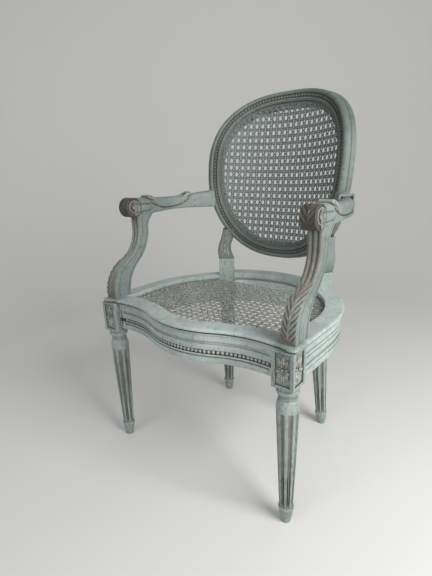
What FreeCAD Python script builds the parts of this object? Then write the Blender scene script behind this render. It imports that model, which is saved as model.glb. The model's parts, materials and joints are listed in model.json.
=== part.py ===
import FreeCAD, Part
import math
import os

import Sketcher
from FreeCAD import Matrix, Placement, Rotation, Vector

# A caned open armchair with an oval back. Millimetres, +Z up, the sitter faces -Y.
# The origin is on the floor, midway across the width and the depth.

doc = FreeCAD.newDocument("caned_armchair")
sheet = doc.addObject("Spreadsheet::Sheet", "sizes")

SIZES = [
    # seat frame in plan
    ("seat_width", 590.0),
    ("leg_line", -226.4),
    ("bow_depth", 44.0),
    ("bow_reach", 200.0),
    ("hollow_set", 10.0),
    ("round_set", 150.0),
    ("corner_radius", 14.0),
    # seat rails in section
    ("seat_height", 430.0),
    ("rear_rise", 7.0),
    ("rail_depth", 82.0),
    ("lip_thick", 9.0),
    ("lip_bevel", 2.6),
    ("lip_overhang", 6.0),
    ("rim_width", 45.0),
    ("ledge_width", 13.0),
    ("cane_recess", 12.0),
    ("line_depth", 1.5),
    ("bead_line", 52.0),
    ("bead_channel", 9.0),
    # turned and fluted legs
    ("leg_inset", 28.0),
    ("block_side", 50.0),
    ("block_drop", 90.0),
    ("collar_radius", 24.5),
    ("collar_height", 16.0),
    ("neck_radius", 19.5),
    ("neck_height", 12.0),
    ("dome_height", 14.0),
    ("ring_radius", 17.5),
    ("ring_height", 8.0),
    ("foot_height", 35.0),
    ("foot_radius", 15.8),
    ("toe_radius", 10.5),
    ("ankle_radius", 14.6),
    ("flute_count", 8),
    ("flute_top", 262.0),
    ("shaft_radius", 24.0),
    ("flute_foot_width", 3.6),
    ("flute_head_width", 6.2),
    ("flute_sink", 2.2),
    ("panel_width", 34.0),
    ("panel_height", 62.0),
    ("panel_sink", 1.2),
    # back posts
    ("post_angle", 36.5),
    ("post_width", 48.0),
    ("post_thick", 38.0),
    ("post_foot_out", 176.0),
    ("post_foot_back", 382.0),
    ("post_block_top", 480.0),
    ("post_bedding", 4.0),
    ("neck_swell", 6.0),
    ("neck_waist", 10.0),
    ("neck_thinning", 4.0),
    ("neck_rise", 92.0),
    # oval back
    ("back_centre_back", 440.0),
    ("back_centre_height", 728.0),
    ("back_rake", 8.5),
    ("back_hollow", 302.0),
    ("oval_half_width", 210.0),
    ("oval_half_height", 238.0),
    ("oval_squareness", 2.42),
    ("oval_egg", 0.068),
    ("hoop_width", 46.0),
    ("hoop_thick", 32.0),
    ("roll_width", 12.0),
    ("roll_drop", 7.0),
    ("channel_width", 11.0),
    ("channel_sink", 3.0),
    ("ridge_width", 9.0),
    ("side_spans", 6),
    ("rail_spans", 6),
    ("rebate_depth", 6.0),
    ("lower_joint", 52.0),
    ("upper_joint", 48.0),
    # arms
    ("arm_width", 34.0),
    ("arm_inset", 26.0),
    ("arm_height", 664.0),
    ("arm_bend_set", 200.0),
    ("arm_spans", 6),
    ("arm_scribe", 18.0),
    ("arm_tenon_width", 30.0),
    ("scroll_radius", 26.0),
    ("scroll_set", 84.0),
    ("pad_depth", 44.0),
    ("scroll_swell", 5.0),
    ("scroll_proud", 1.0),
    ("leaf_radius", 6.0),
    ("leaf_proud", 1.5),
    ("front_leaf_run", 59.0),
    ("rear_leaf_run", 214.0),
    ("arm_end_height", 671.0),
    ("arm_end_depth", 50.0),
    # arm supports
    ("support_width", 34.0),
    ("support_foot_front", 13.0),
    ("support_foot_depth", 58.0),
    ("support_sweep", 106.0),
    ("support_head_set", 129.0),
    ("support_heel", 16.0),
    ("support_neck", 36.0),
    ("support_flare", 26.0),
    ("support_sink", 4.0),
    # cane panels
    ("cane_thick", 2.0),
    ("cane_margin", 12.0),
    ("seat_mesh_centre", 195.0),
    ("cane_clear", 0.4),
    ("back_cane_set", 1.0),
    ("back_cane_lift", 1.7),
    ("seat_mesh", 50.0),
    ("seat_gap", 30.0),
    ("back_mesh_across", 42.0),
    ("back_mesh_up", 46.0),
    ("back_gap_across", 25.0),
    ("back_gap_up", 29.0),
    # joints
    ("tenon_thick", 12.0),
    ("tenon_length", 18.0),
    ("tenon_depth", 46.0),
    ("small_tenon_thick", 10.0),
    ("small_tenon_length", 16.0),
    ("small_tenon_width", 22.0),
    ("fit", 0.2),
    ("peg_radius", 3.0),
]

for row, (alias, value) in enumerate(SIZES, start=1):
    sheet.set("A%d" % row, alias)
    sheet.set("B%d" % row, str(value))
    sheet.setAlias("B%d" % row, alias)
doc.recompute()


def size(alias):
    """Value of one named size."""
    return float(sheet.get(alias))


fit = size("fit")
leg_line = size("leg_line")
seat_top = size("seat_height")
rail_foot = seat_top - size("rail_depth")
lip_foot = seat_top - size("lip_thick")
cane_foot = seat_top - size("cane_recess") - size("cane_thick")
half_width = size("seat_width") / 2
round_y = leg_line + size("round_set")
leg_spread = half_width - size("leg_inset")
arm_set = half_width - size("arm_inset")
NODES = []


def node(label, shape):
    """One finished piece whose shape is worked out here."""
    piece = doc.addObject("Part::Feature", label)
    piece.Shape = shape
    piece.Label = label
    NODES.append(piece)
    return piece


def box(x_range, y_range, z_range):
    """Box between two corners, given as three ranges."""
    corner = Vector(x_range[0], y_range[0], z_range[0])
    return Part.makeBox(
        x_range[1] - x_range[0],
        y_range[1] - y_range[0],
        z_range[1] - z_range[0],
        corner,
    )


def mirrored(shape):
    """The same piece for the other side of the chair."""
    return shape.mirror(Vector(0, 0, 0), Vector(1, 0, 0))


def arc(start, middle, end):
    """Edge of a circular arc through three points."""
    return Part.Arc(start, middle, end).toShape()


# Plan of the seat: a bowed front, straight sides and a half round behind.


def seat_outline(inset):
    """Closed wire in plan, the same distance inside the lip all round."""
    reach = size("bow_reach")
    depth = size("bow_depth")
    bow_radius = (reach ** 2 + depth ** 2) / (4 * depth)
    hollow_y = leg_line - size("hollow_set")
    bow_centre = Vector(0, hollow_y - depth + bow_radius, 0)
    hollow_centre = Vector(reach, hollow_y - bow_radius, 0)
    bow = bow_radius - inset
    hollow = bow_radius + inset
    side_x = half_width - inset

    turn = math.atan2(reach / 2, bow_radius - depth / 2)
    meet = bow_centre + Vector(math.sin(turn), -math.cos(turn), 0) * bow
    corner = max(size("corner_radius") - inset, 1.0)

    centre_x = side_x - corner
    gap = centre_x - hollow_centre.x
    centre_y = hollow_centre.y + math.sqrt((hollow + corner) ** 2 - gap ** 2)
    centre = Vector(centre_x, centre_y, 0)
    toward = (hollow_centre - centre).normalize()
    corner_front = centre + toward * corner
    middle_turn = math.atan2(toward.y, toward.x) / 2
    corner_middle = centre + Vector(math.cos(middle_turn), math.sin(middle_turn), 0) * corner
    corner_side = centre + Vector(corner, 0, 0)

    start_turn = math.atan2(meet.y - hollow_centre.y, meet.x - hollow_centre.x)
    end_turn = math.atan2(corner_front.y - hollow_centre.y, corner_front.x - hollow_centre.x)
    half_turn = (start_turn + end_turn) / 2
    hollow_middle = hollow_centre + Vector(math.cos(half_turn), math.sin(half_turn), 0) * hollow

    def left(point):
        return Vector(-point.x, point.y, point.z)

    round_side = Vector(side_x, round_y, 0)
    round_back = Vector(0, round_y + side_x, 0)
    right_half = [
        (arc, (meet, hollow_middle, corner_front)),
        (arc, (corner_front, corner_middle, corner_side)),
        (Part.makeLine, (corner_side, round_side)),
    ]
    edges = [arc(left(meet), bow_centre - Vector(0, bow, 0), meet)]
    for make, points in right_half:
        edges.append(make(*points))
    edges.append(arc(round_side, round_back, left(round_side)))
    for make, points in reversed(right_half):
        edges.append(make(*[left(point) for point in reversed(points)]))
    return Part.Wire(edges)


def seat_slab(inset, z_low, z_high):
    """Solid plate of the seat's plan between two heights."""
    face = Part.Face(seat_outline(inset))
    face.translate(Vector(0, 0, z_low))
    return face.extrude(Vector(0, 0, z_high - z_low))


def seat_lip(rise):
    """The bevelled plate whose edge is the lip."""
    lip = seat_slab(0, lip_foot, seat_top + rise)
    edges = [edge for edge in lip.Edges if edge.BoundBox.ZLength < 0.01]
    return lip.makeChamfer(size("lip_bevel"), edges)


def moulded_ring(rise, lined):
    """The whole seat frame with its lip and, where wanted, its bead channel."""
    top = seat_top + rise
    fascia = size("lip_overhang")
    lip = seat_lip(rise)
    body = seat_slab(fascia, rail_foot, lip_foot)
    if lined:
        middle = seat_top - size("bead_line")
        half = size("bead_channel") / 2
        core = seat_slab(fascia + size("line_depth"), middle - half - 1, middle + half + 1)
        body = body.cut(seat_slab(-1, middle - half, middle + half).cut(core))
    ring = lip.fuse(body)
    ring = ring.cut(seat_slab(size("rim_width"), cane_foot, top + 1))
    opening = seat_slab(size("rim_width") + size("ledge_width"), rail_foot - 1, cane_foot + 1)
    return ring.cut(opening)


# Places that several pieces share.

leg_half = size("block_side") / 2
leg_inner = leg_spread - leg_half
block_back = leg_line + leg_half
post_turn = math.radians(size("post_angle"))
post_out = Vector(math.sin(post_turn), math.cos(post_turn), 0)
post_face = half_width - size("rim_width") - 1
post_centre_set = post_face + size("post_thick") / 2
post_centre = Vector(0, round_y, 0) + post_out * post_centre_set


def post_box(width, near, far, z_low, z_high):
    """Box square to the right post, its depth measured from the round's centre."""
    shape = Part.makeBox(width, far - near, z_high - z_low, Vector(-width / 2, near, z_low))
    shape.rotate(Vector(0, 0, 0), Vector(0, 0, 1), -size("post_angle"))
    shape.translate(Vector(0, round_y, 0))
    return shape


def both_sides(shape):
    """The shape and its mirror image, as one."""
    return Part.makeCompound([shape, mirrored(shape)])


corner_box = box((leg_inner, half_width + 5), (leg_line - 60, block_back), (0, seat_top + 20))
ring_inner = half_width - size("rim_width") - size("ledge_width")
post_slot = post_box(size("post_width"), ring_inner - 20, half_width + 20, 0, seat_top + 20)


def tenon(width, thick, length):
    """Tenon along +Y with its root at the origin, and the mortise that takes it."""
    tongue = Part.makeBox(thick, length + 1, width, Vector(-thick / 2, -1, -width / 2))
    hole = Part.makeBox(
        thick + 2 * fit,
        length + 1 + fit,
        width + 2 * fit,
        Vector(-thick / 2 - fit, -1, -width / 2 - fit),
    )
    return tongue, hole


def placed(shape, position, turn, tilt=0.0):
    """Copy of a shape turned about Z and then tipped, at a place."""
    copy = shape.copy()
    rotation = Rotation(Vector(0, 0, 1), turn) * Rotation(Vector(1, 0, 0), tilt)
    copy.Placement = Placement(position, rotation)
    return copy


rail_tenon, rail_mortise = tenon(
    size("tenon_depth"), size("tenon_thick"), size("tenon_length")
)
tenon_z = rail_foot + size("rail_depth") * 0.42

# Every rail tenon on the right side: root, and the direction it points in, as a turn about Z.
front_tenon_at = (Vector(leg_inner, leg_line, tenon_z), -90.0)
side_tenon_at = (Vector(leg_spread, block_back, tenon_z), 180.0)
post_across = Vector(math.cos(post_turn), -math.sin(post_turn), 0)
post_flank = size("post_width") / 2
rear_root = post_centre - post_across * post_flank
side_root = post_centre + post_across * post_flank
rear_tenon_at = (Vector(rear_root.x, rear_root.y, tenon_z), -90.0 - size("post_angle"))
back_tenon_at = (Vector(side_root.x, side_root.y, tenon_z), 90.0 - size("post_angle"))


def eight_sided(start, direction, length, radius):
    """Straight bar of eight flats, from a point along a direction."""
    turns = [math.radians(22.5 + 45 * index) for index in range(9)]
    outline = Part.makePolygon([
        Vector(radius * math.cos(turn), radius * math.sin(turn), 0) for turn in turns
    ])
    bar = Part.Face(outline).extrude(Vector(0, 0, length))
    bar.Placement = Placement(start, Rotation(Vector(0, 0, 1), direction))
    return bar


def peg(start, direction, length, slack=0.0):
    """Riven peg, or with slack the hole that takes it."""
    return eight_sided(start, direction, length + slack, size("peg_radius") + slack)


peg_set = size("tenon_length") / 2
peg_length = leg_half + size("tenon_thick")
panel_face = leg_half - size("panel_sink")
front_peg = (
    Vector(leg_inner + peg_set, leg_line - panel_face, tenon_z),
    Vector(0, 1, 0),
    peg_length,
)
side_peg = (
    Vector(leg_spread + panel_face, block_back - peg_set, tenon_z),
    Vector(-1, 0, 0),
    peg_length,
)
post_back = post_centre + post_out * (size("post_thick") / 2) + Vector(0, 0, tenon_z)
post_peg_shift = post_across * (post_flank - peg_set)
post_peg_length = size("post_thick") / 2 + size("tenon_thick")
rear_peg = (post_back - post_peg_shift, -post_out, post_peg_length)
back_peg = (post_back + post_peg_shift, -post_out, post_peg_length)


def front_zone():
    """Everything in front of the mitres that run inwards from the leg blocks."""
    inner = leg_inner - 100
    points = [
        Vector(-leg_inner, leg_line - 100, 0),
        Vector(leg_inner, leg_line - 100, 0),
        Vector(leg_inner, block_back, 0),
        Vector(inner, block_back + 100, 0),
        Vector(-inner, block_back + 100, 0),
        Vector(-leg_inner, block_back, 0),
    ]
    outline = Part.makePolygon(points + points[:1])
    return Part.Face(outline).extrude(Vector(0, 0, seat_top + 20))


def seat_rails():
    """Front, side and rear rails, cut from one moulded ring and given their tenons."""
    slots = both_sides(corner_box).Solids + both_sides(post_slot).Solids
    ring = moulded_ring(0, True)
    zone = front_zone()
    front = ring.common(zone)
    sides = ring.cut([zone] + slots).Solids
    backs = moulded_ring(size("rear_rise"), False).cut(slots).Solids
    side = max(sides, key=lambda solid: solid.CenterOfMass.x)
    rear = max(backs, key=lambda solid: solid.CenterOfMass.y)
    front = front.fuse(both_sides(placed(rail_tenon, *front_tenon_at)).Solids)
    rear = rear.fuse(both_sides(placed(rail_tenon, *rear_tenon_at)).Solids)
    side = side.fuse([placed(rail_tenon, *side_tenon_at), placed(rail_tenon, *back_tenon_at)])
    front = front.cut(both_sides(peg(*front_peg, fit)).Solids)
    rear = rear.cut(both_sides(peg(*rear_peg, fit)).Solids)
    side = side.cut([peg(*side_peg, fit), peg(*back_peg, fit)])
    return front.removeSplitter(), side.removeSplitter(), rear.removeSplitter()


# Turned and fluted legs.


def constrain(sketch, element, point, along, across):
    """Tie a sketch point to two expressions measured from the sketch's origin."""
    for kind, text, axis in (("DistanceX", along, -2), ("DistanceY", across, -1)):
        value = sheet.evalExpression(text)
        if float(value) == 0.0:
            rule = Sketcher.Constraint("PointOnObject", element, point, axis)
            sketch.addConstraint(rule)
        else:
            rule = Sketcher.Constraint(kind, -1, 1, element, point, float(value))
            index = sketch.addConstraint(rule)
            sketch.setExpression("Constraints[%d]" % index, text)


def outline_sketch(body, name, plane, corners):
    """Closed sketch of straight sides; each corner is a pair of expressions."""
    sketch = body.newObject("Sketcher::SketchObject", name)
    features = body.Origin.OriginFeatures
    sketch.AttachmentSupport = [next(item for item in features if item.Role == plane), ""]
    sketch.MapMode = "FlatFace"
    spots = [Vector(*[float(sheet.evalExpression(text)) for text in pair], 0) for pair in corners]
    count = len(corners)
    for index in range(count):
        side = Part.LineSegment(spots[index - 1], spots[index])
        sketch.addGeometry(side, False)
    for index in range(count):
        before = (index - 1) % count
        sketch.addConstraint(Sketcher.Constraint("Coincident", before, 2, index, 1))
        constrain(sketch, index, 2, *corners[index])
    return sketch


LEG_TOP = "sizes.seat_height - sizes.block_drop"
NECK_TOP = LEG_TOP + " - sizes.collar_height"
DOME_TOP = NECK_TOP + " - sizes.neck_height"
RING_FOOT = "sizes.foot_height"
RING_TOP = RING_FOOT + " + sizes.ring_height"
CORE = "sizes.ankle_radius * 0.7"


def turned_core(name):
    """The turned foot, ring, dome, neck and collar, round a slim core."""
    body = doc.addObject("PartDesign::Body", name)
    profile = outline_sketch(body, name + "_profile", "XZ_Plane", [
        ("0", "0"),
        ("sizes.toe_radius", "0"),
        ("sizes.foot_radius", RING_FOOT),
        ("sizes.ring_radius", RING_FOOT),
        ("sizes.ring_radius", RING_TOP),
        ("sizes.ankle_radius", RING_TOP),
        (CORE, RING_TOP),
        (CORE, "sizes.flute_top"),
        ("sizes.shaft_radius", "sizes.flute_top"),
        ("sizes.shaft_radius", DOME_TOP + " - sizes.dome_height"),
        ("sizes.neck_radius", DOME_TOP),
        ("sizes.neck_radius", NECK_TOP),
        ("sizes.collar_radius", NECK_TOP),
        ("sizes.collar_radius", LEG_TOP),
        ("0", LEG_TOP),
    ])
    doc.recompute()
    turning = body.newObject("PartDesign::Revolution", name + "_turning")
    turning.Profile = profile
    turning.ReferenceAxis = (profile, ["V_Axis"])
    turning.Angle = 360
    doc.recompute()
    return body


def flute_section(radius, width, height):
    """Closed section of the fluted shaft: low ribs between sunk flutes."""
    count = int(size("flute_count"))
    half = width / 2 / radius
    floor = radius - size("flute_sink")
    pitch = 2 * math.pi / count

    def spot(reach, angle):
        return Vector(reach * math.cos(angle), reach * math.sin(angle), height)

    edges = []
    for index in range(count):
        angle = index * pitch
        corners = [
            spot(radius, angle - half),
            spot(floor, angle - half * 0.5),
            spot(floor, angle + half * 0.5),
            spot(radius, angle + half),
        ]
        edges += [Part.makeLine(*corners[step:step + 2]) for step in range(3)]
        rib = [spot(radius, angle + turn) for turn in (half, pitch / 2, pitch - half)]
        edges += [Part.makeLine(rib[0], rib[1]), Part.makeLine(rib[1], rib[2])]
    return Part.Wire(edges)


def fluted_leg(core):
    """A whole turned and fluted leg, standing on the origin."""
    foot_z = size("foot_height") + size("ring_height")
    sections = [
        flute_section(size("ankle_radius"), size("flute_foot_width"), foot_z),
        flute_section(size("shaft_radius"), size("flute_head_width"), size("flute_top")),
    ]
    return core.Shape.fuse(Part.makeLoft(sections, True, True))


def sunk_panels(block):
    """The two outer faces of a leg block, each with a shallow sunk panel."""
    sink = size("panel_sink")
    width = size("panel_width") / 2
    middle = (seat_top - size("block_drop") + lip_foot) / 2
    tall = size("panel_height") / 2
    centre = leg_spread
    front = box(
        (centre - width, centre + width),
        (leg_line - leg_half - 1, leg_line - leg_half + sink),
        (middle - tall, middle + tall),
    )
    outer = box(
        (centre + leg_half - sink, centre + leg_half + 1),
        (leg_line - width, leg_line + width),
        (middle - tall, middle + tall),
    )
    return block.cut([front, outer])


# The hollow surface of the back, raked backwards, and the oval drawn on it.

hollow_radius = size("back_hollow")
back_frame = Placement(
    Vector(0, leg_line + size("back_centre_back"), size("back_centre_height")),
    Rotation(Vector(1, 0, 0), -size("back_rake")),
)


def raked(shape):
    """Shape moved from the back's own frame to its place in the chair."""
    shape.transformShape(back_frame.toMatrix())
    return shape


def hollow_point(across, up, deep):
    """Point of the back's own frame from a distance round the hollow, a height and a depth."""
    turn = across / hollow_radius
    reach = hollow_radius + deep
    return Vector(reach * math.sin(turn), reach * math.cos(turn) - hollow_radius, up)


def oval_point(angle):
    """Outer edge of the hoop on the hollow: distance round it and height, as an X-Y vector."""
    power = 2 / size("oval_squareness")
    cosine, sine = math.cos(angle), math.sin(angle)
    across = size("oval_half_width") * math.copysign(abs(cosine) ** power, cosine)
    across *= 1 + size("oval_egg") * sine
    up = size("oval_half_height") * math.copysign(abs(sine) ** power, sine)
    return Vector(hollow_radius * math.asin(across / hollow_radius), up, 0)


def oval_inset(angle, inset):
    """Point on the hollow the given distance inside the hoop's outer edge."""
    step = 0.004
    along = oval_point(angle + step) - oval_point(angle - step)
    along.normalize()
    return oval_point(angle) + Vector(-along.y, along.x, 0) * inset


# Arms: straight over their supports, then bending in to meet the sides of the hoop.

arm_height = size("arm_height")
arm_straight = size("arm_bend_set") - size("scroll_set")


def hoop_side_point(height):
    """Middle of the hoop's right side where it passes a height."""
    up = (height - size("back_centre_height")) / math.cos(math.radians(size("back_rake")))
    share = abs(up / size("oval_half_height")) ** (size("oval_squareness") / 2)
    spot = oval_inset(math.copysign(math.asin(share), up), size("hoop_width") / 2)
    return back_frame.multVec(hollow_point(spot.x, spot.y, size("hoop_thick") / 2))


arm_goal = hoop_side_point(size("arm_end_height"))
goal_in = arm_set - arm_goal.x
goal_back = arm_goal.y - leg_line - size("arm_bend_set")
arm_bend_radius = (goal_in ** 2 + goal_back ** 2) / (2 * goal_in)
arm_turn = math.atan2(goal_back, arm_bend_radius - goal_in)
arm_run = arm_straight + arm_bend_radius * arm_turn


def arm_place(run):
    """Point on the arm's middle line in plan and its direction, from the run past the scroll."""
    start = Vector(arm_set, leg_line + size("scroll_set"), 0)
    if run <= arm_straight:
        return start + Vector(0, run, 0), Vector(0, 1, 0)
    turn = (run - arm_straight) / arm_bend_radius
    corner = start + Vector(-arm_bend_radius, arm_straight, 0)
    return (
        corner + Vector(math.cos(turn), math.sin(turn), 0) * arm_bend_radius,
        Vector(-math.sin(turn), math.cos(turn), 0),
    )


def arm_ease(run):
    """How far the arm has changed to its size at the hoop, from 0 to 1."""
    return (max(run - arm_straight, 0) / (arm_run - arm_straight)) ** 2


def arm_middle(run):
    """Height of the arm's middle at a run past the scroll."""
    return arm_height + (size("arm_end_height") - arm_height) * arm_ease(run)


def arm_depth(run):
    """Depth of the arm at a run past the scroll."""
    pad = size("pad_depth")
    front = size("scroll_swell") * max(1 - run / arm_straight, 0) ** 2
    return pad + front + (size("arm_end_depth") - pad) * arm_ease(run)


def arm_section(run):
    """Rectangle across the arm with its corners taken off along the top."""
    place, ahead = arm_place(run)
    across = Vector(ahead.y, -ahead.x, 0) * (size("arm_width") / 2)
    middle = place + Vector(0, 0, arm_middle(run))
    up = Vector(0, 0, arm_depth(run) / 2)
    crown = up * 0.8
    points = [
        middle - across - up,
        middle + across - up,
        middle + across + crown,
        middle + across * 0.7 + up,
        middle - across * 0.7 + up,
        middle - across + crown,
    ]
    return Part.makePolygon(points + points[:1])


def arm_leaf(run):
    """Curled leaf that lies across the arm at one end of the bare pad."""
    place, ahead = arm_place(run)
    across = Vector(ahead.y, -ahead.x, 0)
    half = size("arm_width") / 2 + size("leaf_proud")
    top = arm_middle(run) + arm_depth(run) / 2 + size("leaf_proud")
    start = place - across * half + Vector(0, 0, top)
    return eight_sided(start, across, 2 * half, size("leaf_radius"))


def arm_body():
    """Arm with its scroll and leaves, before its end is scribed to the hoop."""
    spans = int(size("arm_spans"))
    runs = [arm_run * index / spans for index in range(spans + 1)]
    shaft = Part.makeLoft([arm_section(run) for run in runs], True, True)
    half = size("arm_width") / 2 + size("scroll_proud")
    start = Vector(arm_set - half, leg_line + size("scroll_set"), arm_height)
    scroll = Part.makeCylinder(size("scroll_radius"), 2 * half, start, Vector(1, 0, 0))
    leaves = [arm_leaf(size(name)) for name in ("front_leaf_run", "rear_leaf_run")]
    return shaft.fuse([scroll] + leaves)


# Arm supports: S shaped, sawn from a plank, tenoned into the front legs and the arms.


def swept_edge(foot, head):
    """Two equal arcs that leave the foot and reach the head upright."""
    across = head.y - foot.y
    tall = head.z - foot.z
    radius = (across ** 2 + tall ** 2) / (4 * across)
    half = math.atan2(tall / 2, radius - across / 2) / 2
    middle = (foot + head) / 2
    low = foot + Vector(0, radius * (1 - math.cos(half)), radius * math.sin(half))
    high = head - (low - foot)
    return [arc(foot, low, middle), arc(middle, high, head)]


support_tenon, support_mortise = tenon(
    size("small_tenon_width"), size("small_tenon_thick"), size("small_tenon_length")
)
support_front = leg_line - size("support_foot_front")
support_back = support_front + size("support_foot_depth")
support_foot_at = Vector(leg_spread, leg_line + size("support_foot_depth") * 0.1, seat_top)
arm_foot = arm_height - arm_depth(arm_straight) / 2
support_head_at = Vector(
    arm_set,
    leg_line + size("support_head_set") - size("small_tenon_width") * 0.9,
    arm_foot - size("support_sink"),
)


support_peg = (
    support_head_at + Vector(-size("support_width") / 2, 0, size("small_tenon_length") * 0.7),
    Vector(1, 0, 0),
    size("support_width") / 2 + size("small_tenon_thick"),
)


def arm_support():
    """Right arm support with its two tenons."""
    middle = arm_set
    half = size("support_width") / 2
    start = Vector(0, support_front, seat_top)
    low_front = Vector(0, support_front, seat_top + size("support_heel"))
    neck = arm_foot - size("support_neck")
    high_front = Vector(0, support_front + size("support_sweep"), neck)
    top = arm_foot + size("small_tenon_length")
    head_front = Vector(0, high_front.y, top)
    high_back = Vector(0, leg_line + size("support_head_set"), neck)
    head_back = high_back + Vector(0, size("support_flare"), size("support_neck") + size("support_sink"))
    top_back = Vector(0, head_back.y, top)
    low_back = Vector(0, support_back, seat_top)
    flare = head_back - high_back
    flare_middle = high_back + Vector(0, flare.y * 0.2, flare.z * 0.6)
    edges = [Part.makeLine(start, low_front)]
    edges += swept_edge(low_front, high_front)
    edges.append(Part.makeLine(high_front, head_front))
    edges.append(Part.makeLine(head_front, top_back))
    edges.append(Part.makeLine(top_back, head_back))
    edges.append(arc(head_back, flare_middle, high_back))
    edges += [edge.reversed() for edge in reversed(swept_edge(low_back, high_back))]
    edges.append(Part.makeLine(low_back, start))
    face = Part.Face(Part.Wire(Part.sortEdges(edges)[0]))
    face.translate(Vector(middle - half, 0, 0))
    plank = face.extrude(Vector(2 * half, 0, 0)).cut(arm_body())
    plank = max(plank.Solids, key=lambda solid: solid.Volume)
    whole = plank.fuse([
        placed(support_tenon, support_foot_at, 0, -90),
        placed(support_tenon, support_head_at, 0, 90),
    ])
    return whole.cut(peg(*support_peg, fit))


def front_leg(leg):
    """Right front leg: the turned leg, its block and the corner of the seat's lip."""
    middle = leg_spread
    block = box(
        (leg_inner, middle + leg_half),
        (leg_line - leg_half, block_back),
        (seat_top - size("block_drop"), lip_foot),
    )
    core = leg.copy()
    core.translate(Vector(middle, leg_line, 0))
    corner = seat_lip(0).common(corner_box)
    whole = core.fuse([sunk_panels(block), corner])
    mortises = [
        placed(rail_mortise, *front_tenon_at),
        placed(rail_mortise, *side_tenon_at),
        placed(support_mortise, support_foot_at, 0, -90),
        peg(*front_peg, fit),
        peg(*side_peg, fit),
    ]
    return whole.cut(mortises).removeSplitter()


# The oval back: a moulded hoop bent to the hollow surface.


def hoop_section(angle):
    """Flat moulded section of the hoop, square to its run."""
    width = size("hoop_width")
    middle = oval_inset(angle, width / 2)
    outer = oval_inset(angle, 0)
    centre = hollow_point(middle.x, middle.y, 0)
    deeper = (hollow_point(middle.x, middle.y, 1) - centre).normalize()
    inward = centre - hollow_point(outer.x, outer.y, 0)
    inward -= deeper * inward.dot(deeper)
    inward.normalize()
    thick = size("hoop_thick")
    roll = size("roll_width")
    channel = roll + size("channel_width")
    ridge = channel + size("ridge_width")
    profile = [
        (0, thick),
        (0, size("roll_drop")),
        (roll * 0.35, 0),
        (roll, 0),
        (roll, size("channel_sink")),
        (channel, size("channel_sink")),
        (channel, 0),
        (ridge, 0),
        (ridge, size("rebate_depth")),
        (width, size("rebate_depth")),
        (width, thick),
    ]
    points = [centre + inward * (w - width / 2) + deeper * d for w, d in profile]
    return Part.makePolygon(points + points[:1])


def hoop_part(start, end, steps):
    """Length of the hoop between two angles, in degrees."""
    angles = [math.radians(start + (end - start) * index / steps) for index in range(steps + 1)]
    return Part.makeLoft([hoop_section(angle) for angle in angles], True, True)


def hoop_joint(angle):
    """Place and direction of the run at a joint of the hoop."""
    turn = math.radians(angle)
    middle = oval_inset(turn, size("hoop_width") / 2)
    ahead = oval_inset(turn + 0.01, size("hoop_width") / 2)
    depth = size("hoop_thick") * 0.6
    point = hollow_point(middle.x, middle.y, depth)
    along = (hollow_point(ahead.x, ahead.y, depth) - point).normalize()
    deeper = (hollow_point(middle.x, middle.y, depth + 1) - point).normalize()
    return point, along, deeper


def hoop_tenon(angle, pointing, slack):
    """Tenon or, with slack, mortise at a hoop joint; pointing is +1 or -1 along the run."""
    point, along, deeper = hoop_joint(angle)
    width = size("small_tenon_width") + 2 * slack
    thick = size("small_tenon_thick") + 2 * slack
    length = size("small_tenon_length") + 1 + slack
    tongue = Part.makeBox(thick, length, width, Vector(-thick / 2, -1, -width / 2))
    forward = along * pointing
    upward = deeper.cross(forward)
    frame = Matrix(
        deeper.x, forward.x, upward.x, point.x,
        deeper.y, forward.y, upward.y, point.y,
        deeper.z, forward.z, upward.z, point.z,
        0, 0, 0, 1,
    )
    tongue.transformShape(frame)
    return tongue


upper = size("upper_joint")
lower = size("lower_joint")
side_spans = int(size("side_spans"))
rail_spans = int(size("rail_spans"))


def top_rail():
    """Crest of the hoop, tenoned into both posts."""
    rail = hoop_part(upper, 180 - upper, rail_spans)
    right = hoop_tenon(upper, -1, 0)
    holes = both_sides(peg(*hoop_peg(upper), fit)).Solids
    return rail.fuse([right, mirrored(right)]).cut(holes)


def bottom_rail():
    """Foot of the hoop, tenoned into both posts."""
    rail = hoop_part(-180 + lower, -lower, rail_spans)
    right = hoop_tenon(-lower, 1, 0)
    holes = both_sides(peg(*hoop_peg(-lower), fit)).Solids
    return rail.fuse([right, mirrored(right)]).cut(holes)


def post_section(height, width, thick, shift, front_set):
    """Rectangle across the stile at a height, square to the seat's round."""
    centre = Vector(0, round_y, height) + post_out * front_set + post_across * shift
    half = post_across * (width / 2)
    deep = post_out * thick
    points = [centre - half, centre + half, centre + half + deep, centre - half + deep]
    return Part.makePolygon(points + points[:1])


def surface_set(height):
    """Distance of the hollow's face from the round's centre, measured along the post's depth."""
    up = (height - size("back_centre_height")) / math.cos(math.radians(size("back_rake")))
    turn = post_turn
    bearing = 0.0
    while abs(post_turn - bearing) > 1e-9:
        point = back_frame.multVec(hollow_point(hollow_radius * turn, up, 0))
        bearing = math.atan2(point.x, point.y - round_y)
        turn += post_turn - bearing
    return (point - Vector(0, round_y, 0)).dot(post_out)


def stile():
    """Plain block and waisted neck between the seat and the hoop."""
    block_top = size("post_block_top")
    width = size("post_width")
    thick = size("post_thick")
    waist = size("neck_waist")
    thin = thick - size("neck_thinning")
    sections = []
    for share, shift in ((0, 0), (0.24, size("neck_swell")), (0.65, 0), (1, -waist)):
        height = block_top + size("neck_rise") * share
        narrow = width - waist * share
        front = surface_set(height)
        sections.append(post_section(height, narrow, thin, shift, front))
    block = Part.makeLoft([
        post_section(seat_top, width, thick, 0, post_face),
        sections[0],
    ], True, True)
    return block.fuse(Part.makeLoft(sections, True, False))


post_block_foot = seat_top - size("block_drop")


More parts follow.
